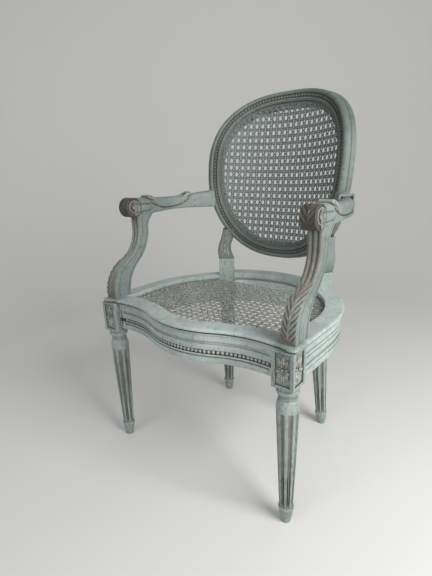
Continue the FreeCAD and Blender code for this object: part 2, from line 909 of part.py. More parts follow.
def raked_leg(leg):
    """The rear leg, leaning out and back, sawn level with the floor."""
    foot = Vector(size("post_foot_out"), leg_line + size("post_foot_back"), 0)
    head = Vector(post_centre.x, post_centre.y, post_block_foot)
    axis = (head - foot).normalize()
    drop = math.hypot(axis.x, axis.y) * size("toe_radius") + 1
    copy = leg.copy()
    copy.Placement = Placement(foot - axis * drop, Rotation(Vector(0, 0, 1), axis))
    reach = 2 * size("foot_radius")
    below = box((foot.x - reach, foot.x + reach), (foot.y - reach, foot.y + reach), (-reach, 0))
    return copy.cut(below)


def back_post(leg):
    """Side of the hoop alone, and the right back post that it belongs to, in one piece."""
    far = post_face + size("post_thick")
    bedded = post_block_foot - size("post_bedding")
    block = post_box(size("post_width"), post_face, far, bedded, seat_top)
    side = raked(hoop_part(-lower, upper, side_spans))
    whole = raked_leg(leg).fuse([block, stile(), side])
    mortises = [
        placed(rail_mortise, *rear_tenon_at),
        placed(rail_mortise, *back_tenon_at),
        raked(hoop_tenon(upper, -1, fit)),
        raked(hoop_tenon(-lower, 1, fit)),
        placed(arm_mortise, *arm_tenon_at),
    ]
    holes = [peg(*spec, fit) for spec in (rear_peg, back_peg, upper_peg, lower_peg, arm_peg)]
    return side, whole.cut(mortises + holes)


def hoop_peg(angle):
    """Peg from behind through a hoop joint, on the post's side of it."""
    toward = -1 if angle > 0 else 1
    point, along, deeper = hoop_joint(angle)
    back = size("hoop_thick") * 0.4
    start = point + along * (toward * size("small_tenon_length") / 2) + deeper * back
    return start, -deeper, back + size("small_tenon_thick")


def raked_peg(spec):
    """The same peg, moved from the back's own frame to its place."""
    start, direction, length = spec
    return back_frame.multVec(start), back_frame.Rotation.multVec(direction), length


upper_peg = raked_peg(hoop_peg(upper))
lower_peg = raked_peg(hoop_peg(-lower))

arm_end, arm_ahead = arm_place(arm_run - size("arm_scribe"))
arm_end = Vector(arm_end.x, arm_end.y, size("arm_end_height"))
arm_tenon_turn = math.degrees(math.atan2(-arm_ahead.x, arm_ahead.y))
arm_tenon, arm_mortise = tenon(
    size("arm_tenon_width"), size("small_tenon_thick"), size("small_tenon_length")
)
arm_tenon_at = (arm_end, arm_tenon_turn)
arm_peg_depth = size("hoop_thick") * 0.5
arm_side = Vector(arm_ahead.y, -arm_ahead.x, 0)
arm_peg = (
    arm_end + arm_ahead * (size("small_tenon_length") * 0.6) + arm_side * arm_peg_depth,
    -arm_side,
    arm_peg_depth + size("small_tenon_thick"),
)


def arm(hoop_side):
    """Right arm, scribed to the hoop, with its tenon and the mortise over its support."""
    body = arm_body().cut(hoop_side)
    body = max(body.Solids, key=lambda solid: solid.Volume)
    whole = body.fuse(placed(arm_tenon, *arm_tenon_at))
    return whole.cut([
        placed(support_mortise, support_head_at, 0, 90),
        peg(*support_peg, fit),
        peg(*arm_peg, fit),
    ])


# Cane panels: the seat's is flat, the back's follows the hollow.


def hoop_stations():
    """Angles, in degrees, at which the hoop's four parts bend, once round."""
    stations = []
    for start, end, steps in (
        (-lower, upper, side_spans),
        (upper, 180 - upper, rail_spans),
        (180 - upper, 180 + lower, side_spans),
        (180 + lower, 360 - lower, rail_spans),
    ):
        stations += [start + (end - start) * index / steps for index in range(steps)]
    return stations


def oval_wire(inset):
    """Closed outline, seen square on, the given distance inside the hoop's edge."""
    points = []
    for angle in hoop_stations():
        spot = oval_inset(math.radians(angle), inset)
        on_hollow = hollow_point(spot.x, spot.y, 0)
        points.append(Vector(on_hollow.x, 0, on_hollow.z))
    return Part.makePolygon(points + points[:1])


def mesh_gaps(limit, corners_at, across, up):
    """Square gaps of a cane panel that lie wholly inside a limiting face."""
    pitch_across, gap_across = across
    pitch_up, gap_up = up
    gaps = []
    columns = int(half_width / pitch_across)
    rows = int(half_width / pitch_up)
    for column in range(-columns, columns + 1):
        for row in range(-rows, rows + 1):
            corners = []
            for side, end in ((-1, -1), (1, -1), (1, 1), (-1, 1)):
                reach = column * pitch_across + side * gap_across / 2
                rise = row * pitch_up + end * gap_up / 2
                corners.append(corners_at(reach, rise))
            if all(limit.isInside(corner, 0.01, True) for corner in corners):
                gaps.append(Part.makePolygon(corners + corners[:1]))
    return gaps


def seat_cane():
    """Flat woven panel laid on the ledge of the seat frame."""
    border = size("rim_width") + size("cane_clear")
    outline = seat_outline(border)
    clear = size("cane_clear")
    room = seat_top + 20
    corner_room = box((leg_inner - clear, half_width), (leg_line - 60, block_back + clear), (0, room))
    post_room = post_box(size("post_width") + 2 * clear, post_face - clear, half_width, 0, room)
    limit = Part.Face(seat_outline(border + size("cane_margin")))
    middle_y = leg_line + size("seat_mesh_centre")

    def corner_at(reach, rise):
        return Vector(reach, middle_y + rise, 0)

    mesh = (size("seat_mesh"), size("seat_gap"))
    gaps = mesh_gaps(limit, corner_at, mesh, mesh)
    face = Part.makeFace([outline] + gaps, "Part::FaceMakerBullseye")
    face.translate(Vector(0, 0, cane_foot))
    panel = face.extrude(Vector(0, 0, size("cane_thick")))
    return panel.cut(both_sides(corner_room).Solids + both_sides(post_room).Solids)


def back_cane():
    """Woven panel bent to the hollow, its face a run of narrow flats, one to a column."""
    ridge = size("roll_width") + size("channel_width") + size("ridge_width")
    outline = oval_wire(ridge + size("back_cane_set"))
    limit = Part.Face(oval_wire(ridge + size("cane_margin")))

    def corner_at(reach, rise):
        point = hollow_point(reach, rise, 0)
        return Vector(point.x, 0, point.z)

    across = (size("back_mesh_across"), size("back_gap_across"))
    up = (size("back_mesh_up"), size("back_gap_up"))
    gaps = mesh_gaps(limit, corner_at, across, up)
    face = Part.makeFace([outline] + gaps, "Part::FaceMakerBullseye")
    face.translate(Vector(0, -hollow_radius / 2, 0))
    prism = face.extrude(Vector(0, hollow_radius, 0))

    tall = size("oval_half_height") * 2
    rear = size("rebate_depth") - size("back_cane_lift")
    front = rear - size("cane_thick")
    pitch = size("back_mesh_across")
    columns = int(size("oval_half_width") * 1.2 / pitch) + 1
    edge = [(index + 0.5) * pitch for index in range(-columns - 1, columns + 1)]
    plan = [hollow_point(reach, -tall / 2, front) for reach in edge]
    plan += [hollow_point(reach, -tall / 2, rear) for reach in reversed(edge)]
    band = Part.Face(Part.makePolygon(plan + plan[:1])).extrude(Vector(0, 0, tall))
    return raked(band.common(prism))


# The pieces, right-hand ones mirrored for the left.

turned = fluted_leg(turned_core("leg_core"))
front_rail, side_rail, rear_rail = seat_rails()
right_leg = front_leg(turned)
hoop_side, right_post = back_post(turned)
right_arm = arm(hoop_side)
right_support = arm_support()

node("front_rail", front_rail)
node("rear_rail", rear_rail)
node("back_top_rail", raked(top_rail()))
node("back_bottom_rail", raked(bottom_rail()))
node("seat_cane", seat_cane())
node("back_cane", back_cane())
for label, shape in (
    ("side_rail", side_rail),
    ("front_leg", right_leg),
    ("back_post", right_post),
    ("arm", right_arm),
    ("arm_support", right_support),
):
    node(label + "_right", shape)
    node(label + "_left", mirrored(shape))
for label, specs in (
    ("seat_frame_pegs", (front_peg, side_peg, rear_peg, back_peg)),
    ("back_hoop_pegs", (upper_peg, lower_peg)),
    ("arm_pegs", (support_peg, arm_peg)),
):
    right = [peg(*spec) for spec in specs]
    node(label, Part.makeCompound(right + [mirrored(shape) for shape in right]))

doc.recompute()
for item in doc.Objects:
    if "Invalid" in item.State or "Error" in item.State:
        raise RuntimeError("%s failed: %s" % (item.Label, item.State))
for item in NODES:
    if item.Shape.isNull() or not item.Shape.isValid():
        raise RuntimeError("%s has no sound shape" % item.Label)

os.makedirs("parts", exist_ok=True)
for item in NODES:
    item.Shape.exportStep("parts/%s.step" % item.Label)
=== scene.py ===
import json
import logging
import math
from collections.abc import Callable, Sequence
from dataclasses import dataclass, field
from enum import Enum
from typing import NamedTuple

import bmesh
import bpy
from mathutils import Matrix, Vector

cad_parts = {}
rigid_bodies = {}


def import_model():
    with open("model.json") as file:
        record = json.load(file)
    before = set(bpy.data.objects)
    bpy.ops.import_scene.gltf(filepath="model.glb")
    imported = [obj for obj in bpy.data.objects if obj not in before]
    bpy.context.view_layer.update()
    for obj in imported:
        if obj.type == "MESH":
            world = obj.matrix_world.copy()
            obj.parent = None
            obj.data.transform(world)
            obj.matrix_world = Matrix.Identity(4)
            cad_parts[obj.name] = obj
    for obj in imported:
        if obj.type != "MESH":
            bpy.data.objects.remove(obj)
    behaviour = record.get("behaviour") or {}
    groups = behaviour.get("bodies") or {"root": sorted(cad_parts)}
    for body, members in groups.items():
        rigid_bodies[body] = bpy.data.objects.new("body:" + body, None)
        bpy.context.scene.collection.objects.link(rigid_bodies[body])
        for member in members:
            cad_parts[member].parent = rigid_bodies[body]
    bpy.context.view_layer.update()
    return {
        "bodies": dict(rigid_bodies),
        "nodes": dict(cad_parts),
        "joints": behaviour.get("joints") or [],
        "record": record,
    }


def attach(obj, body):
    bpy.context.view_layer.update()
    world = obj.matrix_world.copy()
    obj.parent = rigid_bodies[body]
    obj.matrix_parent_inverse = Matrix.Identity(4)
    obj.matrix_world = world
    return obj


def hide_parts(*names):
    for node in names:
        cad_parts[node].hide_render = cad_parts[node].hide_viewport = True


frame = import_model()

log = logging.getLogger("caned_armchair")

MM = 0.001
LEG_LINE = -226.4
HALF_WIDTH = 295.0
BLOCK_FOOT = 340.0
LEG_X = HALF_WIDTH - 28.0
ARM_X = HALF_WIDTH - 26.0
ROUND_Y = LEG_LINE + 150.0
POST_TURN = math.radians(36.5)
POST_OUT = Vector((math.sin(POST_TURN), math.cos(POST_TURN), 0))
POST_ACROSS = Vector((math.cos(POST_TURN), -math.sin(POST_TURN), 0))
POST_FACE = HALF_WIDTH - 46.0

Point = tuple[float, float, float]


class Side(Enum):
    """Side of the chair a piece belongs to."""

    RIGHT = "right"
    LEFT = "left"


class Slot(Enum):
    """Name of the finish that a piece is listed with."""

    WOOD = "painted_wood"
    CANE = "painted_cane"


class Dressed(NamedTuple):
    """A finished piece, the name of its finish and the solids it stands for."""

    made: bpy.types.Object
    finish: str
    nodes: tuple[str, ...]


# Mesh drafts: plain lists of points and faces in millimetres.


@dataclass
class Draft:
    """A mesh being put together from closed lumps."""

    points: list[Vector] = field(default_factory=list)
    faces: list[tuple[int, ...]] = field(default_factory=list)
    coats: list[int] = field(default_factory=list)

    def lump(self, points: Sequence[Vector], faces: Sequence[Sequence[int]], coat: int = 0) -> None:
        """Add one closed lump.

        Args:
            points: corner points in millimetres.
            faces: faces as indices into points.
            coat: material index of the faces.
        """
        base = len(self.points)
        self.points += [Vector(point) for point in points]
        self.faces += [tuple(base + index for index in face) for face in faces]
        self.coats += [coat] * len(faces)

    def skin(
        self,
        rings: Sequence[Sequence[Vector]],
        coat: int = 0,
        paint_at: Callable[[int, int], int] | None = None,
    ) -> None:
        """Add a skin over a run of equal rings, capped at both ends.

        Args:
            rings: closed rings with the same number of points.
            coat: material index.
            paint_at: gives the material index of a face from its row and column.
        """
        count = len(rings[0])
        points = [point for ring in rings for point in ring]
        faces = []
        first = len(self.faces)
        for row in range(len(rings) - 1):
            low = row * count
            high = low + count
            for index in range(count):
                after = (index + 1) % count
                faces.append((low + index, low + after, high + after, high + index))
        faces.append(tuple(reversed(range(count))))
        faces.append(tuple(range(len(points) - count, len(points))))
        self.lump(points, faces, coat)
        if paint_at is not None:
            for index in range(first, len(self.faces) - 2):
                self.coats[index] = paint_at(*divmod(index - first, count))

    def mirrored(self) -> "Draft":
        """The same draft for the left side of the chair.

        Returns:
            A new draft, its faces turned so that they still point outwards.
        """
        flipped = [Vector((-point.x, point.y, point.z)) for point in self.points]
        return Draft(flipped, [tuple(reversed(face)) for face in self.faces], list(self.coats))

    def piece(
        self, name: str, materials: Sequence[bpy.types.Material], sharp: float = 32.0,
    ) -> bpy.types.Object:
        """Make the mesh object.

        Args:
            name: object name.
            materials: materials in the order of the coats.
            sharp: edges bent more than this many degrees stay sharp.

        Returns:
            The new object, untransformed at the origin.
        """
        mesh = bpy.data.meshes.new(name)
        mesh.from_pydata([tuple(point * MM) for point in self.points], [], self.faces)
        for material in materials:
            mesh.materials.append(material)
        mesh.polygons.foreach_set("material_index", self.coats)
        sculpt = bmesh.new()
        sculpt.from_mesh(mesh)
        bmesh.ops.recalc_face_normals(sculpt, faces=sculpt.faces)
        sculpt.to_mesh(mesh)
        sculpt.free()
        mesh.shade_smooth()
        mesh.set_sharp_from_angle(angle=math.radians(sharp))
        mesh.update()
        made = bpy.data.objects.new(name, mesh)
        bpy.context.scene.collection.objects.link(made)
        return made


def both_sides(draft: Draft, stem: str, paint: Sequence[bpy.types.Material]) -> list[Dressed]:
    """The right piece and its mirrored left one.

    Args:
        draft: mesh of the right piece.
        stem: name of the solid, without its side.
        paint: materials in the order of the coats.

    Returns:
        Both pieces, right one first.
    """
    pieces = []
    for side in Side:
        shape = draft if side is Side.RIGHT else draft.mirrored()
        node = f"{stem}_{side.value}"
        pieces.append(Dressed(shape.piece(f"look_{node}", paint), Slot.WOOD.value, (node,)))
    return pieces


def band(first: int, last: int, coat: int) -> Callable[[int, int], int]:
    """Painter for Draft.skin that gives a band of columns its own coat.

    Args:
        first: first column of the band.
        last: column after the band.
        coat: material index inside the band.

    Returns:
        A painter that leaves the rest at coat 0.
    """
    return lambda _, column: coat if first <= column < last else 0


def turned(profile: Sequence[tuple[float, float]], place: Matrix, steps: int = 48) -> list[list[Vector]]:
    """Rings of a plain turning.

    Args:
        profile: pairs of radius and height from end to end.
        place: where the turning's axis stands.
        steps: points to a ring.

    Returns:
        One ring for each pair.
    """
    turns = [2 * math.pi * step / steps for step in range(steps)]
    return [
        [place @ Vector((radius * math.cos(turn), radius * math.sin(turn), height)) for turn in turns]
        for radius, height in profile
    ]


def slab(low: Point, high: Point, ease: float, place: Matrix | None = None) -> list[list[Vector]]:
    """Rings of a block with eased edges, ready for Draft.skin.

    Args:
        low: lowest corner.
        high: highest corner.
        ease: width of the eased edges.
        place: frame of the block, or none for the chair's own.

    Returns:
        Four rings of eight points.
    """
    rings = []
    for z, inset in ((low[2], ease), (low[2] + ease, 0), (high[2] - ease, 0), (high[2], ease)):
        x0, x1 = low[0] + inset, high[0] - inset
        y0, y1 = low[1] + inset, high[1] - inset
        c = ease * 0.6
        ring = [
            (x0 + c, y0), (x1 - c, y0), (x1, y0 + c), (x1, y1 - c),
            (x1 - c, y1), (x0 + c, y1), (x0, y1 - c), (x0, y0 + c),
        ]
        rings.append([Vector((x, y, z)) for x, y in ring])
    if place is not None:
        rings = [[place @ point for point in ring] for ring in rings]
    return rings


# Finishes.


class Tree:
    """Short way of wiring a shader node tree."""

    def __init__(self, name: str) -> None:
        """Start a material of that name.

        Args:
            name: material name.
        """
        self.material = bpy.data.materials.new(name)
        self.material.use_nodes = True
        self.nodes = self.material.node_tree.nodes
        self.links = self.material.node_tree.links
        self.shader = self.nodes["Principled BSDF"]
        self.coords = self.nodes.new("ShaderNodeTexCoord").outputs["Object"]

    def noise(self, scale: float, detail: float = 4.0, stretch: Point = (1, 1, 1)) -> bpy.types.NodeSocket:
        """Noise on object coordinates.

        Args:
            scale: scale of the noise.
            detail: octaves.
            stretch: scale along each axis.

        Returns:
            The noise, about 0.5 in the middle.
        """
        mapping = self.nodes.new("ShaderNodeMapping")
        mapping.inputs["Scale"].default_value = stretch
        self.links.new(self.coords, mapping.inputs["Vector"])
        node = self.nodes.new("ShaderNodeTexNoise")
        node.inputs["Scale"].default_value = scale
        node.inputs["Detail"].default_value = detail
        self.links.new(mapping.outputs["Vector"], node.inputs["Vector"])
        return node.outputs["Fac"]

    def ramp(
        self, value: bpy.types.NodeSocket, low: float, high: float, a: float = 0, b: float = 1,
    ) -> bpy.types.NodeSocket:
        """Clamped linear map of a value.

        Args:
            value: socket to map.
            low: value that gives a.
            high: value that gives b.
            a: result at low.
            b: result at high.

        Returns:
            The mapped socket.
        """
        node = self.nodes.new("ShaderNodeMapRange")
        for key, number in (("From Min", low), ("From Max", high), ("To Min", a), ("To Max", b)):
            node.inputs[key].default_value = number
        self.links.new(value, node.inputs["Value"])
        return node.outputs["Result"]

    def maths(
        self, kind: str, a: bpy.types.NodeSocket, b: bpy.types.NodeSocket | float,
    ) -> bpy.types.NodeSocket:
        """One arithmetic step.

        Args:
            kind: operation of the math node.
            a: first value.
            b: second value, a socket or a number.

        Returns:
            The result.
        """
        node = self.nodes.new("ShaderNodeMath")
        node.operation = kind
        self.links.new(a, node.inputs[0])
        if isinstance(b, float):
            node.inputs[1].default_value = b
        else:
            self.links.new(b, node.inputs[1])
        return node.outputs["Value"]

    def blend(self, share: bpy.types.NodeSocket, a: object, b: object) -> bpy.types.NodeSocket:
        """Mix of two colours.

        Args:
            share: share of the second colour.
            a: first colour, a socket or three numbers.
            b: second colour, a socket or three numbers.

        Returns:
            The mixed colour.
        """
        node = self.nodes.new("ShaderNodeMix")
        node.data_type = "RGBA"
        self.links.new(share, node.inputs[0])
        for slot, colour in ((6, a), (7, b)):
            if isinstance(colour, tuple):
                node.inputs[slot].default_value = (*colour, 1)
            else:
                self.links.new(colour, node.inputs[slot])
        return node.outputs[2]

    def shelter(self, reach: float, inside: bool = False) -> bpy.types.NodeSocket:
        """How open the surface is, 0 in hollows and 1 in the open.

        Args:
            reach: how far to look, in metres.
            inside: look into the wood, which finds edges and not hollows.

        Returns:
            The openness.
        """
        node = self.nodes.new("ShaderNodeAmbientOcclusion")
        node.samples = 8
        node.inside = inside
        node.only_local = True
        node.inputs["Distance"].default_value = reach
        return node.outputs["AO"]

    def finish(
        self, colour: object, rough: float, relief: bpy.types.NodeSocket | None, depth: float,
    ) -> bpy.types.Material:
        """Join colour and relief to the shader.

        Args:
            colour: a socket or three numbers.
            rough: roughness.
            relief: height of the surface, or none.
            depth: depth of the relief in metres.

        Returns:
            The finished material.
        """
        if isinstance(colour, tuple):
            self.shader.inputs["Base Color"].default_value = (*colour, 1)
        else:
            self.links.new(colour, self.shader.inputs["Base Color"])
        self.shader.inputs["Roughness"].default_value = rough
        if relief is not None:
            bump = self.nodes.new("ShaderNodeBump")
            bump.inputs["Strength"].default_value = 0.6
            bump.inputs["Distance"].default_value = depth
            self.links.new(relief, bump.inputs["Height"])
            self.links.new(bump.outputs["Normal"], self.shader.inputs["Normal"])
        return self.material


@dataclass(frozen=True)
class PaintedWood:
    """Old matte paint over brown wood, with painted shade and dark glaze in its grooves, rubbed at its edges.

    Fields give the paint's two tones, the colour of the painted shade and glaze in grooves, the bare wood, and
    how
    much of each shows: chips, rubbed edges and the painted shade with glaze, with the shade's reach in metres.
    """

    name: str
    light: Point = (0.430, 0.497, 0.475)
    cool: Point = (0.270, 0.325, 0.315)
    groove: Point = (0.028, 0.032, 0.026)
    wood: Point = (0.150, 0.095, 0.062)
    chips: float = 0.25
    edge: float = 0.45
    rub: float = 0.25
    glaze_and_shade_strength: float = 0.9
    reach: float = 0.009

    def make(self) -> bpy.types.Material:
        """Build the material."""
        tree = Tree(self.name)
        base = tree.blend(tree.ramp(tree.noise(8, 4), 0.38, 0.64, 0, 0.8), self.light, self.cool)
        chalk = tree.ramp(tree.noise(120, 14), 0.55, 0.66, 0, 0.22)
        base = tree.blend(chalk, base, tuple(min(part * 1.5, 1) for part in self.light))
        smoke = tree.ramp(tree.noise(80, 14), 0.56, 0.66, 0, 0.38)
        base = tree.blend(smoke, base, tuple(part * 0.55 for part in self.cool))
        drag = tree.ramp(tree.noise(240, 5, (1, 1, 0.12)), 0.58, 0.66, 0, self.rub)
        base = tree.blend(drag, base, self.wood)
        # Hollows darken towards near-black by ambient occlusion: painted shade, together with the dark glaze
        # the grooves hold.
        hollow = tree.ramp(tree.shelter(self.reach), 0.35, 0.95, 1, 0)
        base = tree.blend(tree.maths("MULTIPLY", hollow, self.glaze_and_shade_strength), base, self.groove)
        corners = tree.ramp(tree.shelter(0.0024, True), 0.08, 0.6, 1, 0)
        patchy = tree.ramp(tree.noise(120, 12), 0.46, 0.54)
        edges = tree.maths("MULTIPLY", tree.maths("MULTIPLY", corners, patchy), self.edge)
        base = tree.blend(edges, base, self.wood)
        specks = tree.ramp(tree.noise(260, 8), 0.62, 0.65, 0, self.chips)
        base = tree.blend(specks, base, self.wood)
        return tree.finish(base, 0.58, tree.noise(160, 8), 0.0005)


@dataclass(frozen=True)
class WovenCane:
    """Painted cane strand, with painted shade where strands cross."""

    name: str
    light: Point = (0.25, 0.275, 0.255)
    dark: Point = (0.085, 0.098, 0.090)

    def make(self) -> bpy.types.Material:
        """Build the material."""
        tree = Tree(self.name)
        base = tree.blend(tree.ramp(tree.noise(300, 10), 0.44, 0.56), self.dark, self.light)
        # Painted shade where the strands cross and lie under one another, found by ambient occlusion.
        hollow = tree.ramp(tree.shelter(0.003), 0.3, 0.9, 0.7, 0)
        return tree.finish(tree.blend(hollow, base, self.dark), 0.7, None, 0)


@dataclass(frozen=True)
class Plain:
    """One flat colour."""

    name: str
    colour: Point
    rough: float = 0.7

    def make(self) -> bpy.types.Material:
        """Build the material."""
        return Tree(self.name).finish(self.colour, self.rough, None, 0)


# Repeats made with geometry nodes.


class Repeat:
    """A geometry nodes tree that sets a small turned shape on every point of a path."""

    def __init__(self, name: str, segments: int, rings: int) -> None:
        """Build the tree.

        Args:
            name: tree name.
            segments: segments of the ball.
            rings: rings of the ball.
        """
        self.tree = bpy.data.node_groups.new(name, "GeometryNodeTree")
        face = self.tree.interface
        face.new_socket("Geometry", in_out="INPUT", socket_type="NodeSocketGeometry")
        for label in ("Radius", "Flatness"):
            face.new_socket(label, in_out="INPUT", socket_type="NodeSocketFloat")
        face.new_socket("Finish", in_out="INPUT", socket_type="NodeSocketMaterial")
        face.new_socket("Geometry", in_out="OUTPUT", socket_type="NodeSocketGeometry")
        new, link = self.tree.nodes.new, self.tree.links.new
        source, target = new("NodeGroupInput"), new("NodeGroupOutput")
        ball = new("GeometryNodeMeshUVSphere")
        ball.inputs["Segments"].default_value = segments
        ball.inputs["Rings"].default_value = rings
        link(source.outputs["Radius"], ball.inputs["Radius"])
        squash = new("GeometryNodeTransform")
        scale = new("ShaderNodeCombineXYZ")
        scale.inputs[0].default_value = 1.0
        scale.inputs[1].default_value = 1.0
        link(source.outputs["Flatness"], scale.inputs[2])
        link(ball.outputs["Mesh"], squash.inputs["Geometry"])
        link(scale.outputs[0], squash.inputs["Scale"])
        facing = new("GeometryNodeInputNamedAttribute")
        facing.data_type = "FLOAT_VECTOR"
        facing.inputs["Name"].default_value = "facing"
        turn = new("FunctionNodeAlignRotationToVector")
        turn.axis = "Z"
        link(facing.outputs["Attribute"], turn.inputs["Vector"])
        spread = new("GeometryNodeInstanceOnPoints")
        link(source.outputs["Geometry"], spread.inputs["Points"])
        link(squash.outputs["Geometry"], spread.inputs["Instance"])
        link(turn.outputs["Rotation"], spread.inputs["Rotation"])
        real = new("GeometryNodeRealizeInstances")
        smooth = new("GeometryNodeSetShadeSmooth")
        coat = new("GeometryNodeSetMaterial")
        link(spread.outputs["Instances"], real.inputs["Geometry"])
        link(real.outputs["Geometry"], smooth.inputs["Geometry"])
        link(smooth.outputs["Geometry"], coat.inputs["Geometry"])
        link(source.outputs["Finish"], coat.inputs["Material"])
        link(coat.outputs["Geometry"], target.inputs["Geometry"])

    def along(
        self,
        name: str,
        spots: Sequence[tuple[Vector, Vector]],
        radius: float,
        flatness: float,
        finish: bpy.types.Material,
    ) -> bpy.types.Object:
        """Set the shape on every spot.

        Args:
            name: object name.
            spots: places in millimetres with the direction each shape faces.
            radius: radius in millimetres.
            flatness: height of the shape over its width.
            finish: material.

        Returns:
            A plain mesh object.
        """
        mesh = bpy.data.meshes.new(name + "_spots")
        mesh.from_pydata([tuple(spot * MM) for spot, _ in spots], [], [])
        facing = mesh.attributes.new("facing", "FLOAT_VECTOR", "POINT")
        facing.data.foreach_set("vector", [part for _, way in spots for part in way])
        holder = bpy.data.objects.new(name + "_holder", mesh)
        bpy.context.scene.collection.objects.link(holder)
        modifier = holder.modifiers.new("repeat", "NODES")
        values = {"Radius": radius * MM, "Flatness": flatness, "Finish": finish}
        modifier.node_group = self.tree
        for item in self.tree.interface.items_tree:
            if item.in_out == "INPUT" and item.name in values:
                modifier[item.identifier] = values[item.name]
        evaluated = holder.evaluated_get(bpy.context.evaluated_depsgraph_get())
        result = bpy.data.meshes.new_from_object(evaluated)
        result.name = name
        holder.modifiers.remove(modifier)
        bpy.data.objects.remove(holder)
        bpy.data.meshes.remove(mesh)
        made = bpy.data.objects.new(name, result)
        bpy.context.scene.collection.objects.link(made)
        return made


# The seat frame: rails swept along the plan of the seat.


@dataclass
class SeatPlan:
    """Plan of the seat, as points a distance inside the lip."""

    reach: float = 200.0
    depth: float = 44.0
    hollow: float = 10.0
    inner_x: float = LEG_X - 25.0
    straight: float = 0.34
    post_room: float = 24.0

    def radius(self) -> float:
        """Radius of the bow and of the hollows beside it."""
        return (self.reach ** 2 + self.depth ** 2) / (4 * self.depth)

    def front(self, inset: float, share: float) -> Vector:
        """Point of the front.

        Args:
            inset: distance inside the lip.
            share: 0 at the left leg and 1 at the right.

        Returns:
            The point, at floor height.
        """
        across = (2 * share - 1) * self.inner_x
        radius = self.radius()
        turn = math.atan2(self.reach / 2, radius - self.depth / 2)
        base = LEG_LINE - self.hollow
        if abs(across) <= math.sin(turn) * (radius - inset):
            y = base - self.depth + radius - math.sqrt((radius - inset) ** 2 - across ** 2)
        else:
            y = base - radius + math.sqrt((radius + inset) ** 2 - (abs(across) - self.reach) ** 2)
        return Vector((across, y, 0))

    def side(self, inset: float, share: float) -> Vector:
        """Point of the right side.

        Args:
            inset: distance inside the lip.
            share: 0 at the leg block and 1 at the post.

        Returns:
            The point, at floor height.
        """
        x = HALF_WIDTH - inset
        start = LEG_LINE + 25.0
        if share <= self.straight:
            return Vector((x, start + (ROUND_Y - start) * share / self.straight, 0))
        end = math.pi / 2 - POST_TURN - math.asin(self.post_room / x)
        turn = end * (share - self.straight) / (1 - self.straight)
        return Vector((x * math.cos(turn), ROUND_Y + x * math.sin(turn), 0))

    def rear(self, inset: float, share: float) -> Vector:
        """Point of the back.

        Args:
            inset: distance inside the lip.
            share: 0 at the right post and 1 at the left.

        Returns:
            The point, at floor height.
        """
        x = HALF_WIDTH - inset
        edge = math.pi / 2 - POST_TURN + math.asin(self.post_room / x)
        turn = edge + (math.pi - 2 * edge) * share
        return Vector((x * math.cos(turn), ROUND_Y + x * math.sin(turn), 0))

    def ring(self, inset: float) -> list[Vector]:
        """Closed outline of the caned opening.

        Args:
            inset: distance inside the lip.

        Returns:
            Points once round, at floor height.
        """
        steps = [index / 40 for index in range(41)]
        right = [self.side(inset, step) for step in steps]
        left = [Vector((-point.x, point.y, 0)) for point in reversed(right)]
        return [self.front(inset, step) for step in steps] + right + left


FRONT_MOULDING = (
    (58, 348), (58, 416), (45, 416), (45, 429.2), (44.2, 430), (8, 430), (5, 429.8), (2.4, 428.9),
    (0.8, 427.2), (0.2, 425.4), (0.5, 423.6), (1.8, 422.2), (4, 421.3), (8, 421), (8, 419.6),
    (5.2, 419.3), (4, 418.3), (3.7, 416.8), (4.1, 415.4), (5.4, 414.6), (6, 414), (6, 401),
    (6.4, 400.4), (8.4, 399.6), (8.6, 396.6), (8.4, 393.6), (6.4, 392.8), (6, 392.2), (6, 380.4),
    (6.3, 379.6), (9.4, 379), (9.8, 374.5), (9.4, 370), (6.3, 369.4), (6, 368.6), (6, 366),
    (8, 365.2), (8, 362.8), (6, 362), (6, 350), (6.8, 348.6), (8.4, 348),
)
SIDE_MOULDING = (
    (58, 348), (58, 416), (45, 416), (45, 429.2), (44.2, 430), (8, 430), (5, 429.8), (2.4, 428.9),
    (0.8, 427.2), (0.2, 425.4), (0.5, 423.6), (1.8, 422.2), (4, 421.3), (8, 421), (8, 419.6),
    (5.2, 419.3), (4, 418.3), (3.7, 416.8), (4.1, 415.4), (5.4, 414.6), (6, 414), (6, 404),
    (7.6, 403), (7.6, 401), (6, 400), (6, 394), (7.6, 393), (7.6, 391), (6, 390), (6, 381),
    (8.6, 380), (8.6, 374), (6, 373), (6, 366), (7.6, 365), (7.6, 363), (6, 362), (6, 350),
    (6.8, 348.6), (8.4, 348),
)
REAR_MOULDING = tuple((inset, z + 7 if z > 417 else z) for inset, z in SIDE_MOULDING)


